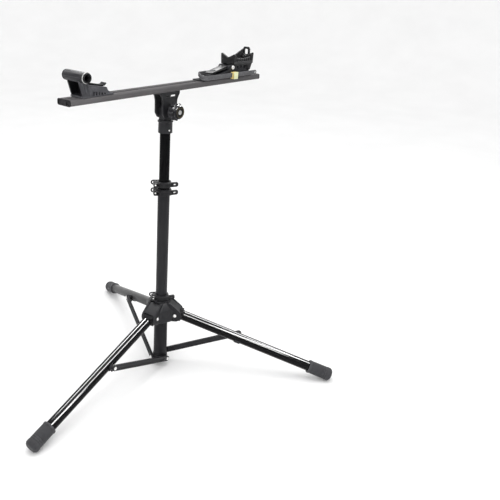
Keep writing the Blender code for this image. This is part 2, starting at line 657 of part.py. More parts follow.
def add_beam(tilt):
    """The beam, with the fork mount and the cradle that slide on it."""
    beam = station("beam_slide", (0, 0, BEAM_TOP), tilt)
    add("beam", on_beam(beam_mesh()), "beam_grey", beam)
    add("beam_cap_fork", on_beam(beam_cap_mesh(BEAM_LOW_X)), "black_plastic", beam)
    add("beam_cap_cradle", on_beam(beam_cap_mesh(BEAM_HIGH_X - CAP_THICK)), "black_plastic", beam)

    fork = station("fork_slide", (BARREL_U, 0, BEAM_TOP), beam)
    add("fork_upright", on_beam(fork_upright_mesh()), "grey_plastic", fork)
    add("fork_wedge", on_beam(fork_wedge_mesh()), "grey_plastic", fork)
    add("axle_sleeve", on_beam(axle_sleeve_mesh()), "black_plastic", fork)
    ring = tube(0.0134, 0.0092, -0.0393, -0.0363, "Y", (BARREL_U, BARREL_W), 24)
    add("axle_ring", on_beam(ring), "steel", fork)
    fork_at = (FORK_LEVER_AT[0], 0, BEAM_TOP + FORK_LEVER_AT[1])
    fork_hinge = station("fork_lever_hinge", fork_at, fork)
    add("fork_lever", on_beam(fork_lever_mesh()), "black_plastic", fork_hinge)

    cradle = station("cradle_slide", (0.3000, 0, BEAM_TOP), beam)
    add("cradle_base", on_beam(cradle_base_mesh()), "black_plastic", cradle)
    add("cradle_pad", on_beam(cradle_pad_mesh()), "dark_rubber", cradle)
    add("cradle_tab", on_beam(cradle_tab_mesh()), "black_plastic", cradle)
    bolt = headed_pin(-0.0255, 0.0255, 0.0037, 0.0037, centre=CRADLE_LEVER_AT)
    add("cradle_bolt", on_beam(bolt), "steel", cradle)
    add("cradle_strap", on_beam(strap_mesh()), "strap_grey", cradle)
    add("buckle", on_beam(buckle_mesh()), "yellow_plastic", cradle)
    lever_at = (CRADLE_LEVER_AT[0], 0, BEAM_TOP + CRADLE_LEVER_AT[1])
    lever_hinge = station("cradle_lever_hinge", lever_at, cradle)
    add("cradle_lever", on_beam(cradle_lever_mesh()), "black_plastic", lever_hinge)
    buckle_at = (0.2500, BUCKLE_LEVER_AT[0], BEAM_TOP + BUCKLE_LEVER_AT[1])
    buckle_hinge = station("buckle_lever_hinge", buckle_at, cradle)
    add("buckle_lever", on_beam(buckle_lever_mesh()), "yellow_plastic", buckle_hinge)


def main():
    clear_scene()
    stand = station("stand", (0, 0, 0))
    add("hub_body", hub_body_mesh(), "black_plastic", stand)
    sleeve = tube(SLEEVE_R, OUTER_R + FIT, COLLAR_Z + 0.0130, HUB_LOW + SLEEVE_DEPTH - GAP)
    add("hub_sleeve", sleeve, "satin_black", stand)
    add_clamp("hub_clamp", HUB_HIGH + GAP + CLAMP_HEIGHT / 2, OUTER_R, stand)
    add_legs(stand)
    inner = add_mast(stand)
    tilt = add_head(inner)
    add_beam(tilt)


main()
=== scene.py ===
"""Looks of the folding bike repair stand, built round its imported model.

Metres, +Z up. X runs along the beam, from the fork mount to the cradle.
"""

import json
import math

import bmesh
import bpy
from mathutils import Matrix, Vector

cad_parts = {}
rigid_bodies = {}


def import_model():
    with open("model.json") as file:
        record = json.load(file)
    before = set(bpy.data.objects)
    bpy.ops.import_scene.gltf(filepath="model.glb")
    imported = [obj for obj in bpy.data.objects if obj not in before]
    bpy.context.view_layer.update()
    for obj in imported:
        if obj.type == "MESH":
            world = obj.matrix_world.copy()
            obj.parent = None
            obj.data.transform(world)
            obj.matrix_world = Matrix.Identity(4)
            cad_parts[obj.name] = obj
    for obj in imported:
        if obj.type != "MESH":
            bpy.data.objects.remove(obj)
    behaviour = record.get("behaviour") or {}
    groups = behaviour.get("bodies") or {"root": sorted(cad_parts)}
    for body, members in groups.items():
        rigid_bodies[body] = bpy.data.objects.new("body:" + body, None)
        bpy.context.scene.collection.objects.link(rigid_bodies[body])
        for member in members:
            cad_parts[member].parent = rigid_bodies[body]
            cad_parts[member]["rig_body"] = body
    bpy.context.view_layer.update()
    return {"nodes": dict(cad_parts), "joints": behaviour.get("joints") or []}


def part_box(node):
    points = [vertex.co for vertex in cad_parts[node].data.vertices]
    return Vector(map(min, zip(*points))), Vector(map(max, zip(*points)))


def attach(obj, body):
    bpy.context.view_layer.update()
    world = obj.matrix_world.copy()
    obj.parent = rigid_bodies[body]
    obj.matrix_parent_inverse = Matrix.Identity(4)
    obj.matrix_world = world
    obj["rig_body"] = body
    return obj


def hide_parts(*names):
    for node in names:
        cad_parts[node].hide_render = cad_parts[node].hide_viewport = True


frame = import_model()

JOINTS = {joint["name"]: joint for joint in frame["joints"]}

# Places taken from the frame.
MAST = Vector(JOINTS["head_swivel"]["pos_m"])
BEAM_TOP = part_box("beam")[1].z
TILT_W = JOINTS["head_tilt"]["pos_m"][2] - BEAM_TOP  # tilt axis, from the beam's top face
HUB_Z = JOINTS["leg_1_fold"]["pos_m"][2]
COLLAR_Z = (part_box("collar_pin_1")[0].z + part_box("collar_pin_1")[1].z) / 2
PIVOT_R = (Vector(JOINTS["leg_1_fold"]["pos_m"][:2]) - MAST.xy).length
STRUT_PLACE = (Vector(JOINTS["strut_1_fold"]["pos_m"]) - Vector(JOINTS["leg_1_fold"]["pos_m"])).length
STRUT_LENGTH = math.hypot(
    (Vector(JOINTS["strut_1_fold"]["pos_m"][:2]) - MAST.xy).length,
    JOINTS["strut_1_fold"]["pos_m"][2] - COLLAR_Z,
)
BARREL_U = (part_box("axle_ring")[0].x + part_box("axle_ring")[1].x) / 2 - MAST.x
BARREL_W = (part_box("axle_ring")[0].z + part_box("axle_ring")[1].z) / 2 - BEAM_TOP
BEAM_LOW_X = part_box("beam_cap_fork")[0].x - MAST.x
BEAM_HIGH_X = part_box("beam_cap_cradle")[1].x - MAST.x
BEAM_HALF = (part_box("beam")[1].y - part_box("beam")[0].y) / 2
BEAM_THICK = BEAM_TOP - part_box("beam")[0].z

# Sizes of the pieces.
LEG_LENGTH = 0.520
LEG_R = 0.0152
BOOT_R = 0.0202
BOOT_LENGTH = 0.075
STRUT_SIDE, STRUT_THICK, STRUT_R = 0.023, 0.008, 0.0085
OUTER_R, MIDDLE_R, INNER_R = 0.0175, 0.0160, 0.0147
SLEEVE_R = 0.0207
CHEEK_IN, CHEEK_OUT = 0.0183, 0.0240
EAR_R = 0.0200
CLAMP_HALF = 0.008
LEVER_PIVOT = (0.0262, 0.0125)
RIVET_R, RIVET_HIGH = 0.0055, 0.0022
STRAP_V, STRAP_LOW, STRAP_HIGH, STRAP_RISE = 0.0310, 0.0034, 0.0162, 0.0026
ROUND = 72  # sides of a large round piece

SHARP = math.radians(38)


# Shapes

def arc(centre, radius, start, end, steps=12):
    """Points on an arc, from the start angle to the end angle in degrees."""
    turns = [math.radians(start + (end - start) * i / steps) for i in range(steps + 1)]
    return [(centre[0] + radius * math.cos(t), centre[1] + radius * math.sin(t)) for t in turns]


def circle(centre, radius, steps=32):
    return arc(centre, radius, 0, 360, steps)[:-1]


def rounded(corners, radius, closed=True, steps=4):
    """The outline with its corners turned into arcs. A corner's third number is a radius of its own."""
    outline = []
    last = len(corners) - 1
    for i, corner in enumerate(corners):
        here = Vector(corner[:2])
        size = corner[2] if len(corner) > 2 else radius
        before = Vector(corners[i - 1][:2]) - here
        after = Vector(corners[(i + 1) % len(corners)][:2]) - here
        opening = before.angle(after)
        if size <= 0 or opening > math.radians(174) or (not closed and i in (0, last)):
            outline.append(tuple(here))
            continue
        reach = min(size / math.tan(opening / 2), before.length * 0.49, after.length * 0.49)
        size = reach * math.tan(opening / 2)
        inward = (before.normalized() + after.normalized()).normalized()
        centre = here + inward * size / math.sin(opening / 2)
        first = here + before.normalized() * reach - centre
        swing = math.pi - opening
        if before.cross(after) > 0:
            swing = -swing
        start = math.atan2(first.y, first.x)
        for step in range(steps + 1):
            angle = start + swing * step / steps
            outline.append((centre.x + size * math.cos(angle), centre.y + size * math.sin(angle)))
    return outline


def mesh_of(bm):
    bmesh.ops.remove_doubles(bm, verts=bm.verts, dist=1e-6)
    bmesh.ops.recalc_face_normals(bm, faces=bm.faces)
    mesh = bpy.data.meshes.new("shape")
    bm.to_mesh(mesh)
    bm.free()
    return mesh


AXES = {
    "X": Matrix(((0, 0, 1, 0), (1, 0, 0, 0), (0, 1, 0, 0), (0, 0, 0, 1))),
    "Y": Matrix(((1, 0, 0, 0), (0, 0, 1, 0), (0, 1, 0, 0), (0, 0, 0, 1))),
    "Z": Matrix.Identity(4),
}


def plate(outline, low, high, across="Z", edge=0.0006, holes=()):
    """A solid with this outline and these holes, from low to high along an axis, its rims rounded."""
    curve = bpy.data.curves.new("outline", "CURVE")
    curve.dimensions = "2D"
    curve.fill_mode = "BOTH"
    curve.extrude = (high - low) / 2 - edge
    curve.bevel_depth = edge
    curve.bevel_resolution = 2
    curve.offset = -edge
    for loop in (outline, *holes):
        spline = curve.splines.new("POLY")
        spline.points.add(len(loop) - 1)
        for point, (a, b) in zip(spline.points, loop):
            point.co = (a, b, 0, 1)
        spline.use_cyclic_u = True
    holder = bpy.data.objects.new("outline", curve)
    flat = bpy.data.meshes.new_from_object(holder)
    bpy.data.objects.remove(holder)
    bpy.data.curves.remove(curve)
    bm = bmesh.new()
    bm.from_mesh(flat)
    bpy.data.meshes.remove(flat)
    bm.transform(AXES[across] @ Matrix.Translation((0, 0, (low + high) / 2)))
    return mesh_of(bm)


def slab(low, high, edge=0.0006):
    """A box between two corners, with all its edges rounded."""
    low, high = Vector(low), Vector(high)
    bm = bmesh.new()
    bmesh.ops.create_cube(bm, size=1)
    for vert in bm.verts:
        vert.co = (low + high) / 2 + Vector(a * b for a, b in zip(vert.co, high - low))
    bmesh.ops.bevel(bm, geom=bm.edges[:], offset=edge, segments=3, profile=0.5, affect="EDGES")
    return mesh_of(bm)


def lathe(profile, across="Z", centre=(0, 0), sides=ROUND):
    """A solid of revolution. The profile's (radius, height) points start and end on the axis, or close."""
    bm = bmesh.new()
    rings = []
    for radius, height in profile:
        ring = []
        for i in range(sides if radius > 1e-7 else 1):
            angle = 2 * math.pi * i / sides
            x, y = centre[0] + radius * math.cos(angle), centre[1] + radius * math.sin(angle)
            spot = Vector((x, y, height))
            ring.append(bm.verts.new(AXES[across] @ spot))
        rings.append(ring)
    pairs = list(zip(rings, rings[1:]))
    if len(rings[0]) > 1:
        pairs.append((rings[-1], rings[0]))
    for first, second in pairs:
        for i in range(sides):
            corners = [first[i % len(first)], first[(i + 1) % sides % len(first)]]
            corners += [second[(i + 1) % sides % len(second)], second[i % len(second)]]
            corners = list(dict.fromkeys(corners))
            if len(corners) > 2:
                bm.faces.new(corners)
    return mesh_of(bm)


def pipe(radius, bore, low, high, across="Z", centre=(0, 0), lip=0.0004, sides=ROUND):
    """A tube with rounded ends."""
    profile = [(radius, low), (radius, high), (bore, high), (bore, low)]
    return lathe(rounded(profile, lip, steps=3), across, centre, sides)


def stud(radius, low, high, across="Z", centre=(0, 0), edge=0.0004, sides=32):
    """A solid round bar with rounded ends."""
    profile = [(0, low), (radius, low), (radius, high), (0, high)]
    return lathe(rounded(profile, edge, closed=False, steps=3), across, centre, sides)


def combined(base, tools, operation):
    for tool in tools:
        body = bpy.data.objects.new("body", base)
        other = bpy.data.objects.new("tool", tool)
        for item in (body, other):
            bpy.context.scene.collection.objects.link(item)
        modifier = body.modifiers.new("shape", "BOOLEAN")
        modifier.operation = operation
        modifier.solver = "EXACT"
        modifier.object = other
        graph = bpy.context.evaluated_depsgraph_get()
        result = bpy.data.meshes.new_from_object(body.evaluated_get(graph))
        for item in (body, other):
            bpy.data.objects.remove(item)
        for mesh in (base, tool):
            bpy.data.meshes.remove(mesh)
        base = result
    return base


def united(base, *others):
    return combined(base, others, "UNION")


def carved(base, *tools):
    return combined(base, tools, "DIFFERENCE")


def gathered(*meshes):
    """Separate shells in one mesh."""
    bm = bmesh.new()
    for mesh in meshes:
        bm.from_mesh(mesh)
        bpy.data.meshes.remove(mesh)
    mesh = bpy.data.meshes.new("shape")
    bm.to_mesh(mesh)
    bm.free()
    return mesh


def turned_z(mesh, degrees):
    mesh.transform(Matrix.Rotation(math.radians(degrees), 4, "Z"))
    return mesh


def piece(name, mesh, material, node, place=None, stands_for=True):
    """Puts a mesh in the scene as a finished piece on the body of a node, which it stands for."""
    if place is not None:
        mesh.transform(place)
    mesh.name = name
    mesh.materials.clear()
    mesh.materials.append(material)
    mesh.polygons.foreach_set("material_index", [0] * len(mesh.polygons))
    mesh.shade_smooth()
    mesh.set_sharp_from_angle(angle=SHARP)
    item = bpy.data.objects.new(name, mesh)
    bpy.context.scene.collection.objects.link(item)
    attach(item, frame["nodes"][node]["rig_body"])
    if stands_for:
        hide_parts(node)
    return item


# Frames of the moving pieces

def frame_of(origin, along, side):
    """A matrix with X along one direction and Y along another, square to it."""
    along, side = Vector(along).normalized(), Vector(side).normalized()
    up = along.cross(side)
    matrix = Matrix((along, side, up)).transposed().to_4x4()
    matrix.translation = origin
    return matrix


def leg_frame(number):
    """The leg's pivot, with X down the leg and Y along its pin."""
    hinge, strut = JOINTS[f"leg_{number}_fold"], JOINTS[f"strut_{number}_fold"]
    pivot = Vector(hinge["pos_m"])
    return frame_of(pivot, Vector(strut["pos_m"]) - pivot, hinge["axis"])


def strut_frame(number):
    """The strut's pivot on its leg, with X towards the collar."""
    strut = JOINTS[f"strut_{number}_fold"]
    pivot = Vector(strut["pos_m"])
    foot = Vector((MAST.x, MAST.y, COLLAR_Z))
    return frame_of(pivot, foot - pivot, -Vector(strut["axis"]))


def heading_of(number):
    out = Vector(JOINTS[f"leg_{number}_fold"]["pos_m"][:2]) - MAST.xy
    return math.degrees(math.atan2(out.y, out.x))


def clamp_frame(name):
    """The clamp's middle on the mast, with X towards its ears."""
    pivot = Vector(JOINTS[f"{name}_clamp_open"]["pos_m"])
    out = pivot.xy - MAST.xy
    facing = math.atan2(out.y, out.x) - math.atan2(LEVER_PIVOT[1], LEVER_PIVOT[0])
    return Matrix.Translation((MAST.x, MAST.y, pivot.z)) @ Matrix.Rotation(facing, 4, "Z")


ON_MAST = Matrix.Translation((MAST.x, MAST.y, 0))
ON_BEAM = Matrix.Translation((MAST.x, MAST.y, BEAM_TOP))


# Geometry Nodes for what repeats

def new_tree(name, sizes):
    tree = bpy.data.node_groups.new(name, "GeometryNodeTree")
    tree.interface.new_socket("Geometry", in_out="INPUT", socket_type="NodeSocketGeometry")
    tree.interface.new_socket("Geometry", in_out="OUTPUT", socket_type="NodeSocketGeometry")
    for label, kind in sizes.items():
        tree.interface.new_socket(label, in_out="INPUT", socket_type=f"NodeSocket{kind}")
    return tree, tree.nodes.new("NodeGroupInput"), tree.nodes.new("NodeGroupOutput")


def node(tree, kind, settings=None, **inputs):
    """A node with its settings. Each input is a value or another node's socket, by the input's own name."""
    made = tree.nodes.new(kind)
    for label, value in (settings or {}).items():
        setattr(made, label, value)
    for label, value in inputs.items():
        socket = next(s for s in made.inputs if s.enabled and s.name.replace(" ", "_") == label)
        if isinstance(value, bpy.types.NodeSocket):
            tree.links.new(value, socket)
        else:
            socket.default_value = value
    return made


def sum_of(tree, kind, *values):
    made = tree.nodes.new("ShaderNodeMath")
    made.operation = kind
    for socket, value in zip(made.inputs, values):
        if isinstance(value, bpy.types.NodeSocket):
            tree.links.new(value, socket)
        else:
            socket.default_value = value
    return made.outputs[0]


def stretched_pill(tree, radius, length):
    """A ball drawn out along Z into a bar with round ends."""
    ball = node(tree, "GeometryNodeMeshUVSphere", Segments=12, Rings=8, Radius=radius)
    place = node(tree, "GeometryNodeInputPosition").outputs[0]
    height = node(tree, "ShaderNodeSeparateXYZ", Vector=place).outputs["Z"]
    shift = sum_of(tree, "MULTIPLY", sum_of(tree, "SIGN", height), sum_of(tree, "MULTIPLY", length, 0.5))
    offset = node(tree, "ShaderNodeCombineXYZ", Z=shift).outputs[0]
    return node(tree, "GeometryNodeSetPosition", Geometry=ball.outputs["Mesh"], Offset=offset).outputs[0]


def closed_off(tree, geometry, given, out):
    """Ends a tree: real geometry, smooth, with its material."""
    real = node(tree, "GeometryNodeRealizeInstances", Geometry=geometry)
    smooth = node(tree, "GeometryNodeSetShadeSmooth", Geometry=real.outputs[0])
    finish_given = given.outputs["Material"]
    dressed = node(tree, "GeometryNodeSetMaterial", Geometry=smooth.outputs[0], Material=finish_given)
    tree.links.new(dressed.outputs[0], out.inputs[0])


def ribs_round_tree():
    """Round-ended ribs along Z, evenly round a circle."""
    sizes = {"Count": "Int", "Ring Radius": "Float", "Rib Radius": "Float", "Rib Length": "Float"}
    tree, given, out = new_tree("ribs_round", {**sizes, "Material": "Material"})
    size = given.outputs
    ring = node(tree, "GeometryNodeMeshCircle", Vertices=size["Count"], Radius=size["Ring Radius"])
    rib = stretched_pill(tree, size["Rib Radius"], size["Rib Length"])
    ribs = node(tree, "GeometryNodeInstanceOnPoints", Points=ring.outputs["Mesh"], Instance=rib)
    closed_off(tree, ribs.outputs[0], given, out)
    return tree


def ribs_in_line_tree():
    """Round-ended ribs along Z, evenly spaced along X."""
    sizes = {"Count": "Int", "Pitch": "Float", "Rib Radius": "Float", "Rib Length": "Float"}
    tree, given, out = new_tree("ribs_in_line", {**sizes, "Material": "Material"})
    size = given.outputs
    step = node(tree, "ShaderNodeCombineXYZ", X=size["Pitch"]).outputs[0]
    row = node(tree, "GeometryNodeMeshLine", Count=size["Count"], Offset=step)
    rib = stretched_pill(tree, size["Rib Radius"], size["Rib Length"])
    ribs = node(tree, "GeometryNodeInstanceOnPoints", Points=row.outputs["Mesh"], Instance=rib)
    closed_off(tree, ribs.outputs[0], given, out)
    return tree


def rivets_tree():
    """A domed rivet head on each point, facing along the point's own direction."""
    sizes = {"Head Radius": "Float", "Head Height": "Float"}
    tree, given, out = new_tree("rivets", {**sizes, "Material": "Material"})
    size = given.outputs
    ball = node(tree, "GeometryNodeMeshUVSphere", Segments=32, Rings=16, Radius=size["Head Radius"])
    place = node(tree, "ShaderNodeSeparateXYZ", Vector=node(tree, "GeometryNodeInputPosition").outputs[0])
    ratio = sum_of(tree, "DIVIDE", size["Head Height"], size["Head Radius"])
    high = sum_of(tree, "MULTIPLY", sum_of(tree, "MAXIMUM", place.outputs["Z"], 0.0), ratio)
    spot = node(tree, "ShaderNodeCombineXYZ", X=place.outputs["X"], Y=place.outputs["Y"], Z=high)
    head = node(tree, "GeometryNodeSetPosition", Geometry=ball.outputs["Mesh"], Position=spot.outputs[0])
    facing = node(tree, "GeometryNodeInputNamedAttribute", {"data_type": "FLOAT_VECTOR"}, Name="facing")
    turn = node(tree, "FunctionNodeAlignRotationToVector", {"axis": "Z"}, Vector=facing.outputs[0])
    heads = node(
        tree,
        "GeometryNodeInstanceOnPoints",
        Points=given.outputs["Geometry"],
        Instance=head.outputs[0],
        Rotation=turn.outputs[0],
    )
    closed_off(tree, heads.outputs[0], given, out)
    return tree


def toothed_strap_tree():
    """A flat strap on edge along a level curve, with upright teeth on its outer side."""
    sizes = ("Strap Thickness", "Strap Width", "Tooth Pitch", "Tooth Radius")
    tree, given, out = new_tree("toothed_strap", {**dict.fromkeys(sizes, "Float"), "Material": "Material"})
    size = given.outputs
    thick, wide = size["Strap Thickness"], size["Strap Width"]
    fine = node(tree, "GeometryNodeResampleCurve", Curve=size["Geometry"], Count=240)
    upright = node(tree, "GeometryNodeSetCurveNormal", {"mode": "Z_UP"}, Curve=fine.outputs[0]).outputs[0]
    profile = node(tree, "GeometryNodeCurvePrimitiveQuadrilateral", Width=thick, Height=wide)
    soft = node(tree, "GeometryNodeFilletCurve", Curve=profile.outputs[0], Radius=0.0006).outputs[0]
    band = node(tree, "GeometryNodeCurveToMesh", Curve=upright, Profile_Curve=soft, Fill_Caps=True)
    pitch = size["Tooth Pitch"]
    spots = node(tree, "GeometryNodeCurveToPoints", {"mode": "LENGTH"}, Curve=upright, Length=pitch).outputs
    half = sum_of(tree, "MULTIPLY", thick, 0.5)
    outward = {"Vector": spots["Normal"], "Scale": half}
    offset = node(tree, "ShaderNodeVectorMath", {"operation": "SCALE"}, **outward).outputs[0]
    proud = node(tree, "GeometryNodeSetPosition", Geometry=spots["Points"], Offset=offset).outputs[0]
    tooth = stretched_pill(tree, size["Tooth Radius"], sum_of(tree, "MULTIPLY", wide, 0.66))
    teeth = node(tree, "GeometryNodeInstanceOnPoints", Points=proud, Instance=tooth)
    both = tree.nodes.new("GeometryNodeJoinGeometry")
    tree.links.new(band.outputs[0], both.inputs[0])
    tree.links.new(teeth.outputs[0], both.inputs[0])
    closed_off(tree, both.outputs[0], given, out)
    return tree


def grown(tree, base=None, **sizes):
    """The plain mesh that a tree makes from a base mesh or curve, or from nothing but its sizes."""
    holder = bpy.data.objects.new("holder", base or bpy.data.meshes.new("none"))
    bpy.context.scene.collection.objects.link(holder)
    modifier = holder.modifiers.new("grow", "NODES")
    modifier.node_group = tree
    for item in tree.interface.items_tree:
        label = item.name.replace(" ", "_")
        if item.in_out == "INPUT" and label in sizes:
            modifier[item.identifier] = sizes[label]
    holder.update_tag()
    graph = bpy.context.evaluated_depsgraph_get()
    mesh = bpy.data.meshes.new_from_object(holder.evaluated_get(graph))
    bpy.data.objects.remove(holder)
    return mesh


def lying(mesh, place, tilt=0.0):
    """Turns ribs made along Z to lie along Y, tilts them and puts them in place."""
    turn = Matrix.Rotation(math.radians(tilt), 4, "Y") @ Matrix.Rotation(math.radians(90), 4, "X")
    mesh.transform(Matrix.Translation(place) @ turn)
    return mesh


def points_mesh(places, facings):
    mesh = bpy.data.meshes.new("points")
    mesh.from_pydata([tuple(p) for p in places], [], [])
    facing = mesh.attributes.new("facing", "FLOAT_VECTOR", "POINT")
    facing.data.foreach_set("vector", [n for f in facings for n in f])
    return mesh


# Finishes

def texture_place(tree, turn=(0, 0, 0), stretch=(1, 1, 1)):
    coordinates = tree.nodes.new("ShaderNodeTexCoord")
    mapping = node(tree, "ShaderNodeMapping", Vector=coordinates.outputs["Object"])
    mapping.vector_type = "TEXTURE"
    mapping.inputs["Rotation"].default_value = turn
    mapping.inputs["Scale"].default_value = stretch
    return mapping.outputs[0]


def noise(tree, place, scale, detail=3.0, rough=0.55):
    made = node(tree, "ShaderNodeTexNoise", Vector=place, Scale=scale, Detail=detail, Roughness=rough)
    return made.outputs[0]


def ranged(tree, value, low, high, start=0.3, end=0.7):
    made = tree.nodes.new("ShaderNodeMapRange")
    tree.links.new(value, made.inputs["Value"])
    for label, number in (("From Min", start), ("From Max", end), ("To Min", low), ("To Max", high)):
        made.inputs[label].default_value = number
    return made.outputs[0]


def mixed(tree, share, first, second):
    made = tree.nodes.new("ShaderNodeMix")
    made.data_type = "RGBA"
    tree.links.new(share, made.inputs["Factor"])
    sockets = [s for s in made.inputs if s.type == "RGBA"]
    for socket, value in zip(sockets, (first, second)):
        if isinstance(value, bpy.types.NodeSocket):
            tree.links.new(value, socket)
        else:
            socket.default_value = (*value, 1)
    return next(s for s in made.outputs if s.type == "RGBA")


def bumped(tree, height, depth, strength=1.0, under=None):
    made = node(tree, "ShaderNodeBump", Height=height, Distance=depth, Strength=strength)
    if under is not None:
        tree.links.new(under, made.inputs["Normal"])
    return made.outputs[0]


def finish(name, metallic=0.0, specular=0.5, coat=0.0, coat_rough=0.1, sheen=0.0):
    material = bpy.data.materials.new(name)
    material.use_nodes = True
    shader = material.node_tree.nodes["Principled BSDF"]
    shader.inputs["Metallic"].default_value = metallic
    shader.inputs["Specular IOR Level"].default_value = specular
    shader.inputs["Coat Weight"].default_value = coat
    shader.inputs["Coat Roughness"].default_value = coat_rough
    shader.inputs["Sheen Weight"].default_value = sheen
    return material, material.node_tree, shader


def edge_share(tree, start=0.515, end=0.60):
    """How far a point is out on an edge, from 0 to 1."""
    return ranged(tree, tree.nodes.new("ShaderNodeNewGeometry").outputs["Pointiness"], 0, 1, start, end)


def drawn_metal(name, dark, light, rough, turn=(0, 0, 0), metallic=0.8, **settings):
    """Drawn along the X of its own frame: fine die lines, cloudy roughness and a few handling marks."""
    material, tree, shader = finish(name, metallic, **settings)
    place = texture_place(tree, turn)
    lines = noise(tree, texture_place(tree, turn, (0.35, 0.0012, 0.0012)), 1.0, 4, 0.7)
    cloud = noise(tree, place, 14, 3)
    smear = noise(tree, texture_place(tree, turn, (0.12, 0.02, 0.02)), 1.0, 5, 0.65)
    colour = mixed(tree, ranged(tree, cloud, 0, 1), dark, light)
    tree.links.new(mixed(tree, ranged(tree, lines, 0, 0.25), colour, light), shader.inputs["Base Color"])
    both = sum_of(tree, "ADD", ranged(tree, cloud, rough[0], rough[1]), ranged(tree, smear, -0.03, 0.05))
    tree.links.new(both, shader.inputs["Roughness"])
    tree.links.new(bumped(tree, lines, 0.00001, 0.5), shader.inputs["Normal"])
    return material


def moulded(name, dark, light, rough, grain=0.00003, grain_scale=2600, wear_and_highlight=None, **settings):
    """Moulded plastic: a fine eroded grain, slow waves in the gloss, and edges painted paler, partly as
    rubbed wear and partly as a painted highlight.
    """
    material, tree, shader = finish(name, **settings)
    place = texture_place(tree)
    cloud = noise(tree, place, 45, 4)
    fine = noise(tree, place, grain_scale, 2)
    cells = node(tree, "ShaderNodeTexVoronoi", Vector=place, Scale=grain_scale * 0.6).outputs["Distance"]
    colour = mixed(tree, ranged(tree, cloud, 0, 1), dark, light)
    # Paler edges: partly rubbed wear, partly a painted highlight along the rims.
    edge_wear_and_highlight = wear_and_highlight or [min(1, 2.6 * c + 0.02) for c in light]
    edges = sum_of(tree, "MULTIPLY", edge_share(tree), ranged(tree, noise(tree, place, 160, 4), 0.25, 1.0))
    tree.links.new(mixed(tree, edges, colour, edge_wear_and_highlight), shader.inputs["Base Color"])
    tree.links.new(ranged(tree, cloud, rough[0], rough[1]), shader.inputs["Roughness"])
    surface = bumped(tree, cells, grain, 0.5, bumped(tree, fine, grain, 0.6))
    tree.links.new(surface, shader.inputs["Normal"])
    return material


def rubbery(name, dark, light, rough, **settings):
    """Soft rubber: matt, with a pebbled skin and pale scuffs on its edges."""
    material, tree, shader = finish(name, sheen=0.05, **settings)
    place = texture_place(tree)
    cloud = noise(tree, place, 70, 5)
    pebbles = node(tree, "ShaderNodeTexVoronoi", Vector=place, Scale=1300).outputs["Distance"]
    colour = mixed(tree, ranged(tree, cloud, 0, 1), dark, light)
    scuff = sum_of(tree, "MULTIPLY", edge_share(tree), ranged(tree, noise(tree, place, 240, 5), 0, 0.8))
    tree.links.new(mixed(tree, scuff, colour, [2.2 * c + 0.03 for c in light]), shader.inputs["Base Color"])
    tree.links.new(ranged(tree, cloud, rough[0], rough[1]), shader.inputs["Roughness"])
    surface = bumped(tree, pebbles, 0.00005, 0.5, bumped(tree, cloud, 0.00012, 0.4))
    tree.links.new(surface, shader.inputs["Normal"])
    return material


def plated(name, dark, light):
    """Bright plated metal, with fine scratches and clouds from the bath."""
    material, tree, shader = finish(name, metallic=1.0)
    place = texture_place(tree)
    cloud = noise(tree, place, 220, 4)
    scratch = noise(tree, texture_place(tree, (0.4, 0.7, 0.2), (0.03, 0.0004, 0.03)), 1.0, 3)
    colour = mixed(tree, ranged(tree, cloud, 0, 1), dark, light)
    tree.links.new(colour, shader.inputs["Base Color"])
    tree.links.new(ranged(tree, cloud, 0.14, 0.28), shader.inputs["Roughness"])
    tree.links.new(bumped(tree, scratch, 0.00001, 0.35), shader.inputs["Normal"])
    return material


def leg_turn(number):
    """The turn that lays a pattern's X along a leg."""
    return tuple(leg_frame(number).to_euler())


UPRIGHT = (0, math.radians(-90), 0)
LEG_BLACK = {
    n: drawn_metal(f"leg_{n}_gloss_black", (0.003, 0.003, 0.0035), (0.005, 0.005, 0.0055), (0.07, 0.12),
                   leg_turn(n), metallic=0.0, specular=0.10)
    for n in (1, 2)
}
# The rear leg is the same black tube as the other two. Its base colour is painted lighter as painted light,
# for the grey sheen it shows from this side, and it is rougher.
LEG_BLACK[3] = drawn_metal("leg_3_satin_black", (0.020, 0.020, 0.021), (0.030, 0.030, 0.031), (0.34, 0.44),
                           leg_turn(3), metallic=0.0, specular=0.20)
MAST_BLACK = drawn_metal("mast_gloss_black", (0.0025, 0.0025, 0.003), (0.0045, 0.0045, 0.005), (0.20, 0.30),
                         UPRIGHT, metallic=0.0, specular=0.04)
MAST_SATIN = drawn_metal("mast_satin_black", (0.010, 0.010, 0.012), (0.015, 0.015, 0.017), (0.30, 0.40),
                         UPRIGHT, metallic=0.0, specular=0.20)
SLEEVE_BLACK = drawn_metal("sleeve_satin_black", (0.009, 0.009, 0.011), (0.015, 0.015, 0.017), (0.34, 0.46),
                           UPRIGHT, metallic=0.0, specular=0.15)
STRUT_BLACK = moulded("strut_powder_coat", (0.010, 0.010, 0.012), (0.018, 0.018, 0.020), (0.38, 0.50),
                      grain=0.00005, grain_scale=1500, specular=0.2)
BEAM_GREY = drawn_metal("beam_grey_anodised", (0.052, 0.049, 0.051), (0.072, 0.069, 0.071), (0.50, 0.60),
                        metallic=0.12, specular=0.25)
HUB_PLASTIC = moulded("hub_black_nylon", (0.008, 0.008, 0.010), (0.016, 0.016, 0.018), (0.36, 0.50),
                      specular=0.2)
KNOB_PLASTIC = moulded("knob_black_nylon", (0.010, 0.010, 0.012), (0.020, 0.020, 0.022), (0.16, 0.26),
                       grain=0.00001, specular=0.08)
CLAMP_PLASTIC = moulded("clamp_black_nylon", (0.010, 0.010, 0.012), (0.018, 0.018, 0.020), (0.40, 0.52),
                        specular=0.2)
GREY_PLASTIC = moulded("mount_grey_nylon", (0.036, 0.036, 0.041), (0.052, 0.052, 0.058), (0.42, 0.56),
                       specular=0.25)
CAP_PLASTIC = moulded("cap_black_nylon", (0.005, 0.005, 0.006), (0.010, 0.010, 0.011), (0.34, 0.46),
                      specular=0.15)
BOOT_RUBBER = rubbery("boot_rubber", (0.030, 0.030, 0.033), (0.046, 0.046, 0.050), (0.62, 0.78), specular=0.3)
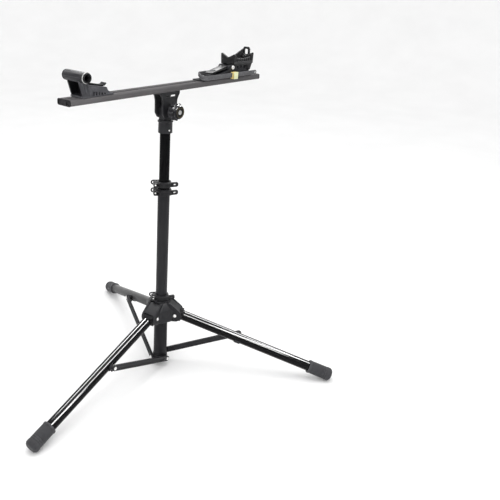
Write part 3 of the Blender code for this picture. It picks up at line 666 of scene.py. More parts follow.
PAD_RUBBER = rubbery("pad_rubber", (0.004, 0.004, 0.005), (0.009, 0.009, 0.010), (0.42, 0.60),
                     specular=0.2)
STRAP_RUBBER = rubbery("strap_rubber", (0.055, 0.055, 0.058), (0.080, 0.080, 0.084), (0.55, 0.70),
                       specular=0.3)
ZINC = plated("bright_zinc", (0.74, 0.73, 0.70), (0.88, 0.88, 0.89))
TURNED_STEEL = plated("turned_steel", (0.36, 0.36, 0.35), (0.48, 0.48, 0.48))
GOLD_PLASTIC = moulded("buckle_gold_nylon", (0.52, 0.36, 0.07), (0.62, 0.45, 0.11), (0.34, 0.46),
                       wear_and_highlight=(0.85, 0.72, 0.35))
OLD_GOLD = moulded("ring_old_gold", (0.085, 0.065, 0.018), (0.13, 0.10, 0.03), (0.34, 0.46), specular=0.3)
PALE_YELLOW = moulded("buckle_pale_yellow", (0.62, 0.64, 0.36), (0.72, 0.74, 0.48), (0.34, 0.46),
                      wear_and_highlight=(0.90, 0.88, 0.66))

RIBS_ROUND = ribs_round_tree()
RIBS_IN_LINE = ribs_in_line_tree()
RIVETS = rivets_tree()
TOOTHED_STRAP = toothed_strap_tree()


# Tripod

def hub_core():
    """The sleeve of the hub round the mast, with a beaded rim."""
    low, high = HUB_Z - 0.032, HUB_Z + 0.044
    bore, socket, wall = OUTER_R + 0.0004, SLEEVE_R + 0.0003, 0.0255
    profile = [(wall, low), (wall, high - 0.0065, 0), (wall + 0.0012, high - 0.005), (wall + 0.0012, high)]
    profile += [(bore, high), (bore, low + 0.012), (socket, low + 0.012), (socket, low)]
    return lathe(rounded(profile, 0.0008, steps=3))


def hub_cheek(side):
    """One cheek beside a leg: a round ear, with a roof that climbs to the mast."""
    outline = [(0.0220, HUB_Z - EAR_R), (PIVOT_R - 0.004, HUB_Z - EAR_R)]
    outline += arc((PIVOT_R, HUB_Z), EAR_R, -85, 48, 20)
    outline += [(0.0275, HUB_Z + 0.0430, 0.002), (0.0220, HUB_Z + 0.0430)]
    low, high = sorted((side * CHEEK_IN, side * CHEEK_OUT))
    return plate(rounded(outline, 0.001), low, high, "Y", 0.0009)


def hub_roof():
    """The sloping roof over a leg's slot, which closes round the knuckle like a hood."""
    slope = Vector((-0.803, 0.596))
    normal = Vector((0.596, 0.803))
    pivot = Vector((PIVOT_R, HUB_Z))
    under, over, start, end = 0.0173, 0.0197, -0.003, 0.037
    corners = ((under, start), (under, end), (over, end), (over, start))
    outline = [tuple(pivot + normal * r + slope * t) for r, t in corners]
    return plate(rounded(outline, 0.0009), -CHEEK_IN - 0.0005, CHEEK_IN + 0.0005, "Y", 0.0004)


def hub_web():
    """The flat web between two legs' cheeks, with a sloping roof."""
    sections = (
        (HUB_Z - 0.0190, 0.0415, 0.0120, 0.0392, 0.0200),
        (HUB_Z - 0.0175, 0.0430, 0.0122, 0.0400, 0.0213),
        (HUB_Z + 0.0205, 0.0430, 0.0122, 0.0400, 0.0213),
        (HUB_Z + 0.0425, 0.0320, 0.0042, 0.0300, 0.0060),
    )
    bm = bmesh.new()
    rings = []
    for height, out, flat, side, half in sections:
        plan = [(0.0215, -flat), (side, -half), (out, -flat), (out, flat), (side, half), (0.0215, flat)]
        rings.append([bm.verts.new((x, y, height)) for x, y in plan])
    for first, second in zip(rings, rings[1:]):
        for i in range(len(first)):
            j = (i + 1) % len(first)
            bm.faces.new((first[i], first[j], second[j], second[i]))
    bm.faces.new(rings[0])
    bm.faces.new(rings[-1])
    bmesh.ops.recalc_face_normals(bm, faces=bm.faces)
    bmesh.ops.bevel(bm, geom=bm.edges[:], offset=0.0007, segments=2, profile=0.5, affect="EDGES")
    return mesh_of(bm)


def make_hub():
    body = hub_core()
    for number in (1, 2, 3):
        azimuth = heading_of(number)
        cheeks = [turned_z(hub_cheek(side), azimuth) for side in (-1, 1)]
        body = united(body, *cheeks, turned_z(hub_roof(), azimuth), turned_z(hub_web(), azimuth + 60))
    piece("hub_moulding", body, HUB_PLASTIC, "hub_body", ON_MAST)
    low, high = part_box("hub_sleeve")[0].z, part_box("hub_sleeve")[1].z
    bore = OUTER_R + 0.0004
    profile = [(SLEEVE_R + 0.0006, low), (SLEEVE_R + 0.0006, low + 0.0035), (SLEEVE_R, low + 0.0045)]
    profile += [(SLEEVE_R, high), (bore, high), (bore, low)]
    piece("guide_sleeve", lathe(rounded(profile, 0.0004, steps=3)), SLEEVE_BLACK, "hub_sleeve", ON_MAST)


def make_rivets():
    """The shanks and domed heads of all the tripod's pins."""
    sizes = {"Head_Radius": RIVET_R, "Head_Height": RIVET_HIGH, "Material": ZINC}
    for number in (1, 2, 3):
        leg, strut = leg_frame(number), strut_frame(number)
        for label, node_name, spot, place, sides, reach in (
            ("leg", "leg_pin", 0.0, leg, (-1, 1), 0.02435),
            ("strut", "strut_pin", STRUT_PLACE, leg, (1,), STRUT_SIDE + STRUT_THICK + 0.0002),
            ("collar", "collar_pin", STRUT_LENGTH, strut, (1,), STRUT_SIDE + STRUT_THICK + 0.0002),
        ):
            places = [(spot, side * reach, 0) for side in sides]
            heads = grown(RIVETS, points_mesh(places, [(0, side, 0) for side in sides]), **sizes)
            start = -reach if len(sides) == 2 else STRUT_SIDE - 0.0001
            if label == "strut":
                start = 0.0175
            shank = stud(0.003, start, reach, "Y", (spot, 0), 0.0002)
            piece(f"{label}_rivet_{number}", gathered(heads, shank), ZINC, f"{node_name}_{number}", place)


def leg_knuckle():
    """The plastic end of a leg: a round eye on its pin, and a collar that the tube butts against."""
    outline = arc((0, 0), 0.0165, 68, 292, 28) + [(0.0215, -0.0152), (0.0215, 0.0152)]
    eye = plate(rounded(outline, 0.0008), -0.0178, 0.0178, "Y", 0.0014)
    ring = [(0, 0.0100), (0.0150, 0.0100), (0.0160, 0.0190), (0.0166, 0.0200), (0.0166, 0.0240), (0, 0.0240)]
    body = united(eye, lathe(rounded(ring, 0.0008, closed=False, steps=3), "X"))
    return carved(body, stud(0.0033, -0.03, 0.03, "Y"))


def leg_boot(place):
    """The rubber boot: a beaded rim, two grip grooves, a round toe, and a flat where it stands."""
    low, high = LEG_LENGTH - BOOT_LENGTH, LEG_LENGTH
    wall = [(BOOT_R - 0.0012, low), (BOOT_R, low + 0.0012), (BOOT_R, low + 0.0060)]
    wall += [(BOOT_R - 0.0009, low + 0.0070)]
    for groove in (0.0420, 0.0480, 0.0540):
        wall += [(BOOT_R - 0.0006, low + groove), (BOOT_R - 0.0013, low + groove + 0.0008)]
        wall += [(BOOT_R - 0.0013, low + groove + 0.0018), (BOOT_R - 0.0006, low + groove + 0.0026)]
    wall += [(BOOT_R, low + 0.0600)]
    wall += [(r, x) for x, r in arc((high - 0.0095, BOOT_R - 0.0095), 0.0095, 90, 4, 10)]
    profile = [(0, high - 0.012), (LEG_R + 0.0003, high - 0.012), (LEG_R + 0.0003, low)]
    profile += wall + [(BOOT_R - 0.0115, high), (0, high)]
    mesh = lathe(profile, "X", sides=96)
    mesh.transform(place)
    for vert in mesh.vertices:
        vert.co.z = max(vert.co.z, 0.0)
    return mesh


def strut_clip():
    """The saddle under a leg, with the boss for the strut's rivet and an ear below."""
    band = pipe(0.0180, LEG_R + 0.0003, STRUT_PLACE - 0.009, STRUT_PLACE + 0.009, "X", lip=0.0008)
    band = carved(band, slab((STRUT_PLACE - 0.02, -0.03, -0.0030), (STRUT_PLACE + 0.02, 0.03, 0.03), 0.0002))
    boss = stud(0.0085, 0.0155, STRUT_SIDE - 0.0003, "Y", (STRUT_PLACE, 0), 0.0006)
    cheek = [(STRUT_PLACE - 0.0085, 0.0), (STRUT_PLACE - 0.0062, -0.0165), (STRUT_PLACE + 0.0062, -0.0165)]
    cheek += [(STRUT_PLACE + 0.0085, 0.0)]
    ear = plate(rounded(cheek, 0.0015), 0.0135, 0.0180, "Y", 0.0007)
    return united(band, boss, ear)


def strut_bar():
    """A flat bar with round ends and a pressed channel along its outer face."""
    low, high = STRUT_SIDE, STRUT_SIDE + STRUT_THICK
    outline = arc((0, 0), STRUT_R, 90, 270, 20) + arc((STRUT_LENGTH, 0), STRUT_R, -90, 90, 20)
    bar = plate(outline, low, high, "Y", 0.0008, [circle((x, 0), 0.0034, 24) for x in (0, STRUT_LENGTH)])
    start, end, half = 0.020, STRUT_LENGTH - 0.020, 0.0042
    channel = arc((start, 0), half, 90, 270, 12) + arc((end, 0), half, -90, 90, 12)
    return carved(bar, plate(channel, high - 0.0016, high + 0.01, "Y", 0.0004))


def make_legs():
    for number in (1, 2, 3):
        leg, strut = leg_frame(number), strut_frame(number)
        piece(f"knuckle_{number}", leg_knuckle(), CAP_PLASTIC, f"leg_knuckle_{number}", leg)
        shaft = pipe(LEG_R, LEG_R - 0.0014, 0.0243, LEG_LENGTH - 0.0124, "X", lip=0.0005, sides=96)
        piece(f"leg_{number}_shaft", shaft, LEG_BLACK[number], f"leg_tube_{number}", leg)
        piece(f"boot_{number}", leg_boot(leg), BOOT_RUBBER, f"leg_boot_{number}")
        piece(f"clip_{number}", strut_clip(), HUB_PLASTIC, f"strut_clip_{number}", leg)
        piece(f"brace_{number}", strut_bar(), STRUT_BLACK, f"strut_{number}", strut)


def make_collar():
    """The cup at the mast's foot, with a flat boss behind each strut's end."""
    low, high = COLLAR_Z - 0.0130, COLLAR_Z + 0.0110
    bore = OUTER_R + 0.0003
    profile = [(0, low), (0.0195, low, 0.002), (0.0225, low + 0.003), (0.0225, high), (bore, high)]
    profile += [(bore, low + 0.004, 0), (0, low + 0.004)]
    body = lathe(rounded(profile, 0.0009, closed=False, steps=3))
    for number in (1, 2, 3):
        boss = stud(0.0092, 0.0190, STRUT_SIDE - 0.0004, "Y", (0, COLLAR_Z), 0.0005)
        body = united(body, turned_z(boss, heading_of(number)))
    piece("foot_collar", body, HUB_PLASTIC, "strut_collar", ON_MAST)


# Mast

def make_tubes():
    for name, node_name, radius, bore in (
        ("mast_outer", "outer_tube", OUTER_R, 0.0163),
        ("mast_middle", "middle_tube", MIDDLE_R, 0.0150),
        ("mast_inner", "inner_tube", INNER_R, 0.0135),
    ):
        low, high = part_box(node_name)
        coat = MAST_SATIN if name == "mast_outer" else MAST_BLACK
        piece(name, pipe(radius, bore, low.z, high.z, sides=96), coat, node_name, ON_MAST)


def clamp_band(tube_radius):
    """A split band with two eared lugs, a stepped foot and a see-through guide eye behind."""
    inner, wall, slit, ear = tube_radius + 0.0004, 0.0037, 0.0012, 0.0062
    outer = inner + wall
    at_ear = math.degrees(math.asin(ear / outer))
    at_slit = math.degrees(math.asin(slit / inner))
    lug = [(0.0285, slit, 0.0006), (0.0305, slit, 0.0006), (0.0305, ear, 0.003), (0.0230, ear, 0)]
    outline = rounded(lug, 0) + arc((0, 0), outer, at_ear, 360 - at_ear, 64)
    lug = [(0.0230, -ear, 0), (0.0305, -ear, 0.003), (0.0305, -slit, 0.0006), (0.0285, -slit)]
    outline += rounded(lug, 0)
    outline += arc((0, 0), inner, 360 - at_slit, at_slit, 64)
    band = plate(outline, -CLAMP_HALF, CLAMP_HALF, edge=0.0007)
    windows = [
        slab((0.0235, -0.02, z - 0.0019), (0.0288, 0.02, z + 0.0019), 0.0006) for z in (-0.0050, 0.0050)
    ]
    band = carved(band, *windows, stud(0.0028, -0.02, 0.02, "Y", (LEVER_PIVOT[0], 0)))
    foot = pipe(outer + 0.0007, inner, -CLAMP_HALF, -CLAMP_HALF + 0.0022, lip=0.0005)
    rim = pipe(outer + 0.0005, inner, CLAMP_HALF - 0.0030, CLAMP_HALF - 0.0012, lip=0.0004)
    split = slab((0.010, -slit, -0.02), (0.04, slit, 0.02), 0.0001)
    eye = arc((0.0290, 0.0006), 0.0074, -90, 90, 14) + [(0.0080, 0.0074), (0.0080, -0.0062)]
    hole = arc((0.0286, 0.0006), 0.0036, -90, 90, 10) + arc((0.0252, 0.0006), 0.0036, 90, 270, 10)
    guide = plate(eye, -0.0167, -0.0135, "Y", 0.0009, [hole])
    return united(carved(united(band, foot, rim), split), guide)


def clamp_lever(tube_radius):
    """The lever: a fork on the cam barrel, a strap round the band's front and a pierced thumb tab."""
    inner = tube_radius + 0.0050
    outer = inner + 0.0032
    outline = arc(LEVER_PIVOT, 0.0060, -125, 75, 20)
    outline += arc((0, 0), outer, 46, 138, 24)
    outline += rounded([(-0.0250, 0.0150, 0.004), (-0.0395, 0.0120, 0.0020), (-0.0402, 0.0066, 0.0020),
                        (-0.0270, 0.0085, 0.006)], 0.003, closed=False)[1:-1]
    outline += arc((0, 0), inner, 156, 34, 24)
    lever = plate(outline, -0.0067, 0.0067, edge=0.0008)
    thumb = Matrix.Translation((-0.0288, 0.0120, 0)) @ Matrix.Rotation(math.radians(-12), 4, "Z")
    hole = arc((0.0012, 0), 0.0023, -90, 90, 10) + arc((-0.0012, 0), 0.0023, 90, 270, 10)
    pierced = plate(hole, -0.012, 0.012, "Y", 0.0004)
    pierced.transform(thumb)
    fork = stud(0.0105, -0.0034, 0.0034, centre=LEVER_PIVOT)
    lever = carved(lever, pierced, fork, stud(0.0029, -0.01, 0.01, centre=LEVER_PIVOT))
    beyond = [(-0.0700, -0.0300), (-0.0700, 0.0300), (-0.0300, 0.0300), (-0.0300, 0.0067)]
    beyond += [(-0.0358, 0.0067, 0.002), (-0.0402, 0.0030, 0.003), (-0.0402, -0.0030, 0.003)]
    beyond += [(-0.0358, -0.0067, 0.002), (-0.0300, -0.0067), (-0.0300, -0.0300)]
    rounding = plate(rounded(beyond, 0), 0, 0.03, "Y", 0.0002)
    return carved(lever, rounding)


def clamp_bolt():
    """The bolt through the ears: a knurled nut, a thin shank and the cam's cross barrel."""
    shank = stud(0.0025, -0.0090, LEVER_PIVOT[1], "Y", (LEVER_PIVOT[0], 0), 0.0002, 24)
    head = [(0, -0.0103), (0.0042, -0.0103), (0.0047, -0.0098), (0.0047, -0.0066), (0, -0.0066)]
    nut = lathe(rounded(head, 0.0003, closed=False, steps=3), "Y", (LEVER_PIVOT[0], 0), 48)
    sizes = {"Count": 18, "Ring_Radius": 0.0046, "Rib_Radius": 0.0004, "Rib_Length": 0.0020}
    knurl = lying(grown(RIBS_ROUND, Material=ZINC, **sizes), (LEVER_PIVOT[0], -0.0083, 0))
    barrel = stud(0.0026, -0.0064, 0.0064, centre=LEVER_PIVOT, edge=0.0004)
    return gathered(united(shank, barrel, nut), knurl)


def make_clamps():
    for name, radius in (("hub", OUTER_R), ("lower", OUTER_R), ("upper", MIDDLE_R)):
        place = clamp_frame(name)
        piece(f"{name}_clamp_ring", clamp_band(radius), CLAMP_PLASTIC, f"{name}_clamp_band", place)
        piece(f"{name}_clamp_screw", clamp_bolt(), ZINC, f"{name}_clamp_bolt", place)
        piece(f"{name}_quick_lever", clamp_lever(radius), CAP_PLASTIC, f"{name}_clamp_lever", place)


# Head

def make_socket():
    """The head on the mast: a lipped cup, and a tongue between the yoke's cheeks."""
    lip, foot = -0.0949, -0.1299
    outline = arc((0, TILT_W), 0.0165, 0, 180, 28) + [(-0.0165, lip - 0.003), (0.0165, lip - 0.003)]
    tongue = plate(outline, -0.0103, 0.0103, "Y", 0.0010)
    cup = [(0, lip), (0.0217, lip), (0.0217, lip - 0.0040, 0.0006), (0.0196, lip - 0.0060, 0.0006)]
    cup += [(0.0200, foot)]
    cup += [(INNER_R + 0.0004, foot), (INNER_R + 0.0004, lip - 0.006, 0), (0, lip - 0.006)]
    body = united(lathe(rounded(cup, 0.0009, closed=False, steps=3)), tongue)
    screw = [(0, 0.0188), (0.0024, 0.0188), (0.0024, 0.0212), (0.0012, 0.0212), (0.0012, 0.0204), (0, 0.0204)]
    screw = turned_z(lathe(rounded(screw, 0.0003, closed=False, steps=2), "X", (0, -0.1205), 32), 256)
    piece("mast_head", body, HUB_PLASTIC, "head_socket", ON_BEAM)
    piece("socket_screw", screw, ZINC, "head_socket", ON_BEAM, False)


def yoke_cheek(side):
    """A cheek under the beam and the raised border round its outer face.

    The near cheek has one long window, and the far one a small square opening lower down.
    """
    top = -BEAM_THICK - 0.0003
    outline = [(0.0375, top, 0.001), (-0.0355, top, 0.001), (-0.0355, -0.0215), (-0.0305, -0.0275)]
    outline += [(-0.0276, -0.0400, 0.02), (-0.0272, -0.0730, 0.006), (-0.0180, -0.0872, 0.006)]
    outline += [(0.0180, -0.0872, 0.006), (0.0272, -0.0730, 0.006), (0.0280, -0.0400, 0.02)]
    outline += [(0.0310, -0.0330), (0.0375, -0.0225)]
    window = rounded([(-0.0152, -0.0251), (0.0233, -0.0251), (0.0228, -0.0296), (-0.0142, -0.0296)], 0.0012)
    low, high = sorted((side * 0.0110, side * 0.0150))
    if side > 0:
        opening = [(0.0090, -0.0375), (0.0222, -0.0375), (0.0222, -0.0478), (0.0090, -0.0478)]
        window = rounded(opening, 0.0012)
    cheek = plate(rounded(outline, 0.0025), low, high, "Y", 0.0008, [window])
    inner = [(0.0345, top - 0.0045), (-0.0325, top - 0.0045), (-0.0320, -0.0205), (-0.0272, -0.0262)]
    inner += [(-0.0240, -0.0400, 0.02), (-0.0236, -0.0712, 0.005), (-0.0158, -0.0836, 0.005)]
    inner += [(0.0158, -0.0836, 0.005), (0.0236, -0.0712, 0.005), (0.0244, -0.0396, 0.02)]
    inner += [(0.0278, -0.0320), (0.0345, -0.0215)]
    low, high = sorted((side * 0.0144, side * 0.0165))
    border = plate(rounded(outline, 0.0025), low, high, "Y", 0.0008, [rounded(inner, 0.002)])
    return cheek, border


def make_yoke():
    top = -BEAM_THICK - 0.0003
    body = slab((-0.0353, -0.0162, top - 0.0062), (0.0373, 0.0162, top), 0.0009)
    body = united(body, *yoke_cheek(-1), *yoke_cheek(1))
    neck, head = 0.0051, 0.0081
    rail = [(-neck, top - 0.002), (neck, top - 0.002), (neck, -0.0129), (head, -0.0129)]
    rail += [(head, -0.0106), (-head, -0.0106), (-head, -0.0129), (-neck, -0.0129)]
    body = united(body, plate(rail, -0.0325, 0.0345, "X", 0.0002))
    body = carved(body, stud(0.0043, -0.05, 0.05, "Y", (0, TILT_W)))
    piece("tilt_yoke", body, HUB_PLASTIC, "head_yoke", ON_BEAM)
    hexagon = arc((0, TILT_W), 0.0078, 0, 300, 5)
    nut = plate(rounded(hexagon, 0.0004), 0.0178, 0.0225, "Y", 0.0006)
    washer = pipe(0.0098, 0.0041, 0.0168, 0.0178, "Y", (0, TILT_W), 0.0003, 48)
    rod = stud(0.0040, -0.0440, 0.0240, "Y", (0, TILT_W), 0.0006)
    piece("tilt_screw", gathered(united(rod, nut), washer), ZINC, "tilt_bolt", ON_BEAM)


def make_knob():
    """A hand knob: a toothed skirt, a smooth drum in front of it, and a dished cap with a gold ring."""
    at = (0, TILT_W)
    skirt = [(0, -0.0505), (0.0178, -0.0505), (0.0192, -0.0455), (0.0216, -0.0432), (0.0220, -0.0285)]
    skirt += [(0.0205, -0.0265), (0.0125, -0.0265), (0.0112, -0.0255), (0.0112, -0.0169), (0, -0.0169)]
    body = lathe(rounded(skirt, 0.0008, closed=False, steps=3), "Y", at)
    drum = [(0, -0.0540), (0.0165, -0.0540), (0.0181, -0.0523), (0.0181, -0.0500), (0, -0.0500)]
    body = united(body, lathe(rounded(drum, 0.0008, closed=False, steps=3), "Y", at))
    body = carved(body, stud(0.0156, -0.06, -0.0528, "Y", at, 0.0002, 64), stud(0.0043, -0.0445, 0, "Y", at))
    sizes = {"Count": 12, "Ring_Radius": 0.0213, "Rib_Radius": 0.0031, "Rib_Length": 0.0105}
    teeth = lying(grown(RIBS_ROUND, Material=KNOB_PLASTIC, **sizes), (0, -0.0372, TILT_W))
    piece("hand_knob", gathered(body, teeth), KNOB_PLASTIC, "tilt_knob", ON_BEAM)
    dish = [(0, -0.0542), (0.0128, -0.0544), (0.0138, -0.0553), (0.0146, -0.0553), (0.0153, -0.0547)]
    dish += [(0.0153, -0.0530), (0, -0.0530)]
    dish = lathe(rounded(dish, 0.0003, closed=False, steps=3), "Y", at)
    piece("knob_face", dish, CAP_PLASTIC, "knob_cap", ON_BEAM)
    ring = pipe(0.0132, 0.0126, -0.0552, -0.0540, "Y", at, 0.0001)
    piece("knob_ring", ring, OLD_GOLD, "knob_cap", ON_BEAM, False)
    disc = [(0, -0.0552), (0.0056, -0.0551), (0.0062, -0.0545), (0.0062, -0.0535), (0, -0.0535)]
    disc = lathe(rounded(disc, 0.0003, closed=False, steps=3), "Y", at)
    piece("knob_button", disc, TURNED_STEEL, "knob_cap", ON_BEAM, False)


# Beam

def make_beam():
    """The extrusion: a narrow groove on top, a wide one below, hollow chambers, and its plastic end caps."""
    half, low, edge = BEAM_HALF, -BEAM_THICK, 0.0042
    side = [(0.0085, -0.0102, 0), (0.0085, -0.0132, 0), (0.0055, -0.0132, 0), (0.0055, low, 0.0003)]
    side += [(half, low, edge), (half, 0, edge), (0.0038, 0, 0.0004), (0.0038, -0.0018, 0)]
    side += [(0.0065, -0.0018, 0), (0.0065, -0.0045, 0)]
    outline = side + [(-v, w, size) for v, w, size in reversed(side)]
    chambers = []
    for centre in (-0.01605, 0.01605):
        box = [(centre - 0.00525, -0.0120), (centre + 0.00525, -0.0120)]
        box += [(centre + 0.00525, -0.0028), (centre - 0.00525, -0.0028)]
        chambers.append(rounded(box, 0.0008))
    start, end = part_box("beam")[0].x - MAST.x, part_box("beam")[1].x - MAST.x
    extrusion = plate(rounded(outline, 0), start, end, "X", 0.0001, chambers)
    piece("beam_extrusion", extrusion, BEAM_GREY, "beam", ON_BEAM)
    for name, node_name, low_x in (
        ("fork_end_cap", "beam_cap_fork", BEAM_LOW_X),
        ("cradle_end_cap", "beam_cap_cradle", BEAM_HIGH_X - 0.0032),
    ):
        wide, top, under = half + 0.0004, 0.0004, low - 0.0004
        outer = [(-wide, under), (wide, under), (wide, top), (-wide, top)]
        cap = plate(rounded(outer, 0.0046), low_x, low_x + 0.0032, "X", 0.0009)
        face, depth = (low_x, 0.0012) if low_x < 0 else (low_x + 0.0032, -0.0012)
        pockets = []
        for centre in (-0.0150, 0.0150):
            pocket = [(centre - 0.0058, -0.0118), (centre + 0.0058, -0.0118)]
            pocket += [(centre + 0.0058, -0.0034), (centre - 0.0058, -0.0034)]
            ends = sorted((face - 0.004 * (1 if low_x < 0 else -1), face + depth))
            pockets.append(plate(rounded(pocket, 0.0012), *ends, "X", 0.0003))
        piece(name, carved(cap, *pockets), CAP_PLASTIC, node_name, ON_BEAM)


def slider_foot(low_x, high_x):
    """The T-shaped foot of a slider, in the beam's top groove."""
    neck, head = 0.0035, 0.0062
    outline = [(-neck, 0.0015), (-neck, -0.0021), (-head, -0.0021), (-head, -0.0042)]
    outline += [(head, -0.0042), (head, -0.0021), (neck, -0.0021), (neck, 0.0015)]
    return plate(outline, low_x, high_x, "X", 0.0002)


def side_pockets(outline, floor):
    """Cutters for one shallow pocket in each side of a slider."""
    return [plate(outline, *ends, "Y", 0.0004) for ends in ((-0.03, -floor), (floor, 0.03))]


def make_fork_mount():
    """The leaning upright with its barrel, the ribbed wedge, the bored sleeve, ring and lever."""
    at = (BARREL_U, BARREL_W)
    side = [(-0.3015, 0.0004), (-0.2790, 0.0004), (-0.2876, 0.0440, 0.004), (-0.3150, 0.0420, 0.004)]
    body = plate(rounded(side, 0.0012), -0.0232, 0.0232, "Y", 0.0011)
    foot = [(-0.3050, 0.0003), (-0.2785, 0.0003), (-0.2790, 0.0042), (-0.3040, 0.0042)]
    body = united(body, plate(rounded(foot, 0.0010), -0.0236, 0.0236, "Y", 0.0009))
    barrel = pipe(0.0132, 0.0092, -0.0360, 0.0360, "Y", at, 0.0009)
    pocket = [(-0.3300, 0.0050), (-0.2812, 0.0050), (-0.2888, 0.0400), (-0.3300, 0.0400)]
    body = carved(body, plate(rounded(pocket, 0.0020), -0.0202, 0.0202, "Y", 0.0010))
    body = carved(body, stud(0.0131, -0.1, 0.1, "Y", at, sides=ROUND))
    lean = Matrix.Rotation(math.radians(-13), 4, "Y")
    flutes = []
    for end in (-0.0240, 0.0240):
        for shift in (-0.0045, 0.0045):
            flute = slab((-0.0014, -0.0016, -0.0140), (0.0014, 0.0016, 0.0140), 0.0006)
            flute.transform(Matrix.Translation((-0.2935 + shift, end, 0.0225)) @ lean)
            flutes.append(flute)
    sizes = {"Count": 6, "Ring_Radius": 0.0131, "Rib_Radius": 0.0006, "Rib_Length": 0.0600}
    lines = lying(grown(RIBS_ROUND, Material=HUB_PLASTIC, **sizes), (BARREL_U, 0, BARREL_W))
    piece("fork_post", carved(body, *flutes), GREY_PLASTIC, "fork_upright", ON_BEAM)
    # Dark sheets inside the upright's pocket: painted shade, standing for the shadow in the hollow.
    back = [(-0.2830, 0.0052), (-0.2814, 0.0052), (-0.2889, 0.0398), (-0.2905, 0.0398)]
    pocket_shade_sheet = plate(back, -0.0201, 0.0201, "Y", 0.0002)
    far = [(-0.3022, 0.0052), (-0.2816, 0.0052), (-0.2891, 0.0398), (-0.3134, 0.0398)]
    wall = plate(far, 0.0190, 0.0201, "Y", 0.0002)
    piece("post_lining", united(pocket_shade_sheet, wall), CAP_PLASTIC, "fork_upright", ON_BEAM, False)
    piece("fork_barrel", gathered(barrel, lines), HUB_PLASTIC, "fork_upright", ON_BEAM, False)

    outline = [(-0.2786, 0.0003), (-0.2060, 0.0003), (-0.2058, 0.0036, 0.001), (-0.2240, 0.0120, 0.008)]
    outline += [(-0.2275, 0.0205, 0.001), (-0.2844, 0.0300, 0.002)]
    body = plate(rounded(outline, 0.0008, steps=6), -0.0217, 0.0217, "Y", 0.0009)
    pockets = []
    for step in range(5):
        x = -0.2715 + 0.0085 * step
        top = 0.0140 - 0.0014 * step
        shape = [(x, 0.0030), (x + 0.0058, 0.0030), (x + 0.0058, top - 0.0012), (x, top)]
        pockets += side_pockets(rounded(shape, 0.0012), 0.0180)
    wedge = united(carved(body, *pockets), slider_foot(-0.2750, -0.2120))
    piece("fork_slider", wedge, GREY_PLASTIC, "fork_wedge", ON_BEAM)

    bore, shank, flange = 0.0062, 0.0089, 0.0121
    profile = [(0, 0.0330, 0), (bore, 0.0330, 0), (bore, -0.0360), (0.0094, -0.0425)]
    profile += [(flange - 0.0012, -0.0432), (flange, -0.0418), (flange, -0.0396), (shank, -0.0396, 0)]
    profile += [(shank, 0.0363, 0), (0.0128, 0.0363), (0.0128, 0.0392), (0.0100, 0.0430), (0, 0.0438)]
    sleeve = lathe(rounded(profile, 0.0007, closed=False, steps=3), "Y", at)
    piece("axle_bush", sleeve, CAP_PLASTIC, "axle_sleeve", ON_BEAM)
    ring = [(0.0124, -0.0393), (0.0135, -0.0383), (0.0135, -0.0365), (0.0092, -0.0365), (0.0092, -0.0393)]
    piece("bright_ring", lathe(rounded(ring, 0.0003, steps=2), "Y", at), TURNED_STEEL, "axle_ring", ON_BEAM)

    pivot = fork_lever_pivot()
    outline = arc(pivot, 0.0021, 85, 265, 14)
    for edge in (
        [(-0.2310, 0.0213, 0.004), (-0.2245, 0.0218, 0.006), (-0.2188, 0.0270, 0.0008)],
        [(-0.2198, 0.0287, 0.0008), (-0.2245, 0.0246, 0.006), (-0.2320, 0.0246, 0.004)],
    ):
        outline += rounded(edge, 0, False, 6)
    lever = plate(outline, -0.0100, 0.0100, "Y", 0.0007)
    piece("fork_quick_lever", lever, CAP_PLASTIC, "fork_lever", ON_BEAM)


def fork_lever_pivot():
    pivot = JOINTS["fork_lever_lift"]["pos_m"]
    return (pivot[0] - MAST.x, pivot[2] - BEAM_TOP)


def cradle_lever_pivot():
    pivot = JOINTS["cradle_lever_lift"]["pos_m"]
    return (pivot[0] - MAST.x, pivot[2] - BEAM_TOP)


# Cradle

def saddle_rib(height, notch, half_top, low=0.0400, half=0.0250):
    """A rib's outline across the beam: a V notch between two horns."""
    horn = (half_top, height)
    tip = (half_top - 0.0032, height + 0.0010)
    outline = [(-half, low), (half, low), (half + 0.0004, low + 0.008, 0.01), horn, tip]
    outline += [(0, notch, 0.004), (-tip[0], tip[1]), (-horn[0], horn[1])]
    outline += [(-half - 0.0004, low + 0.008, 0.01)]
    return rounded(outline, 0.0012)


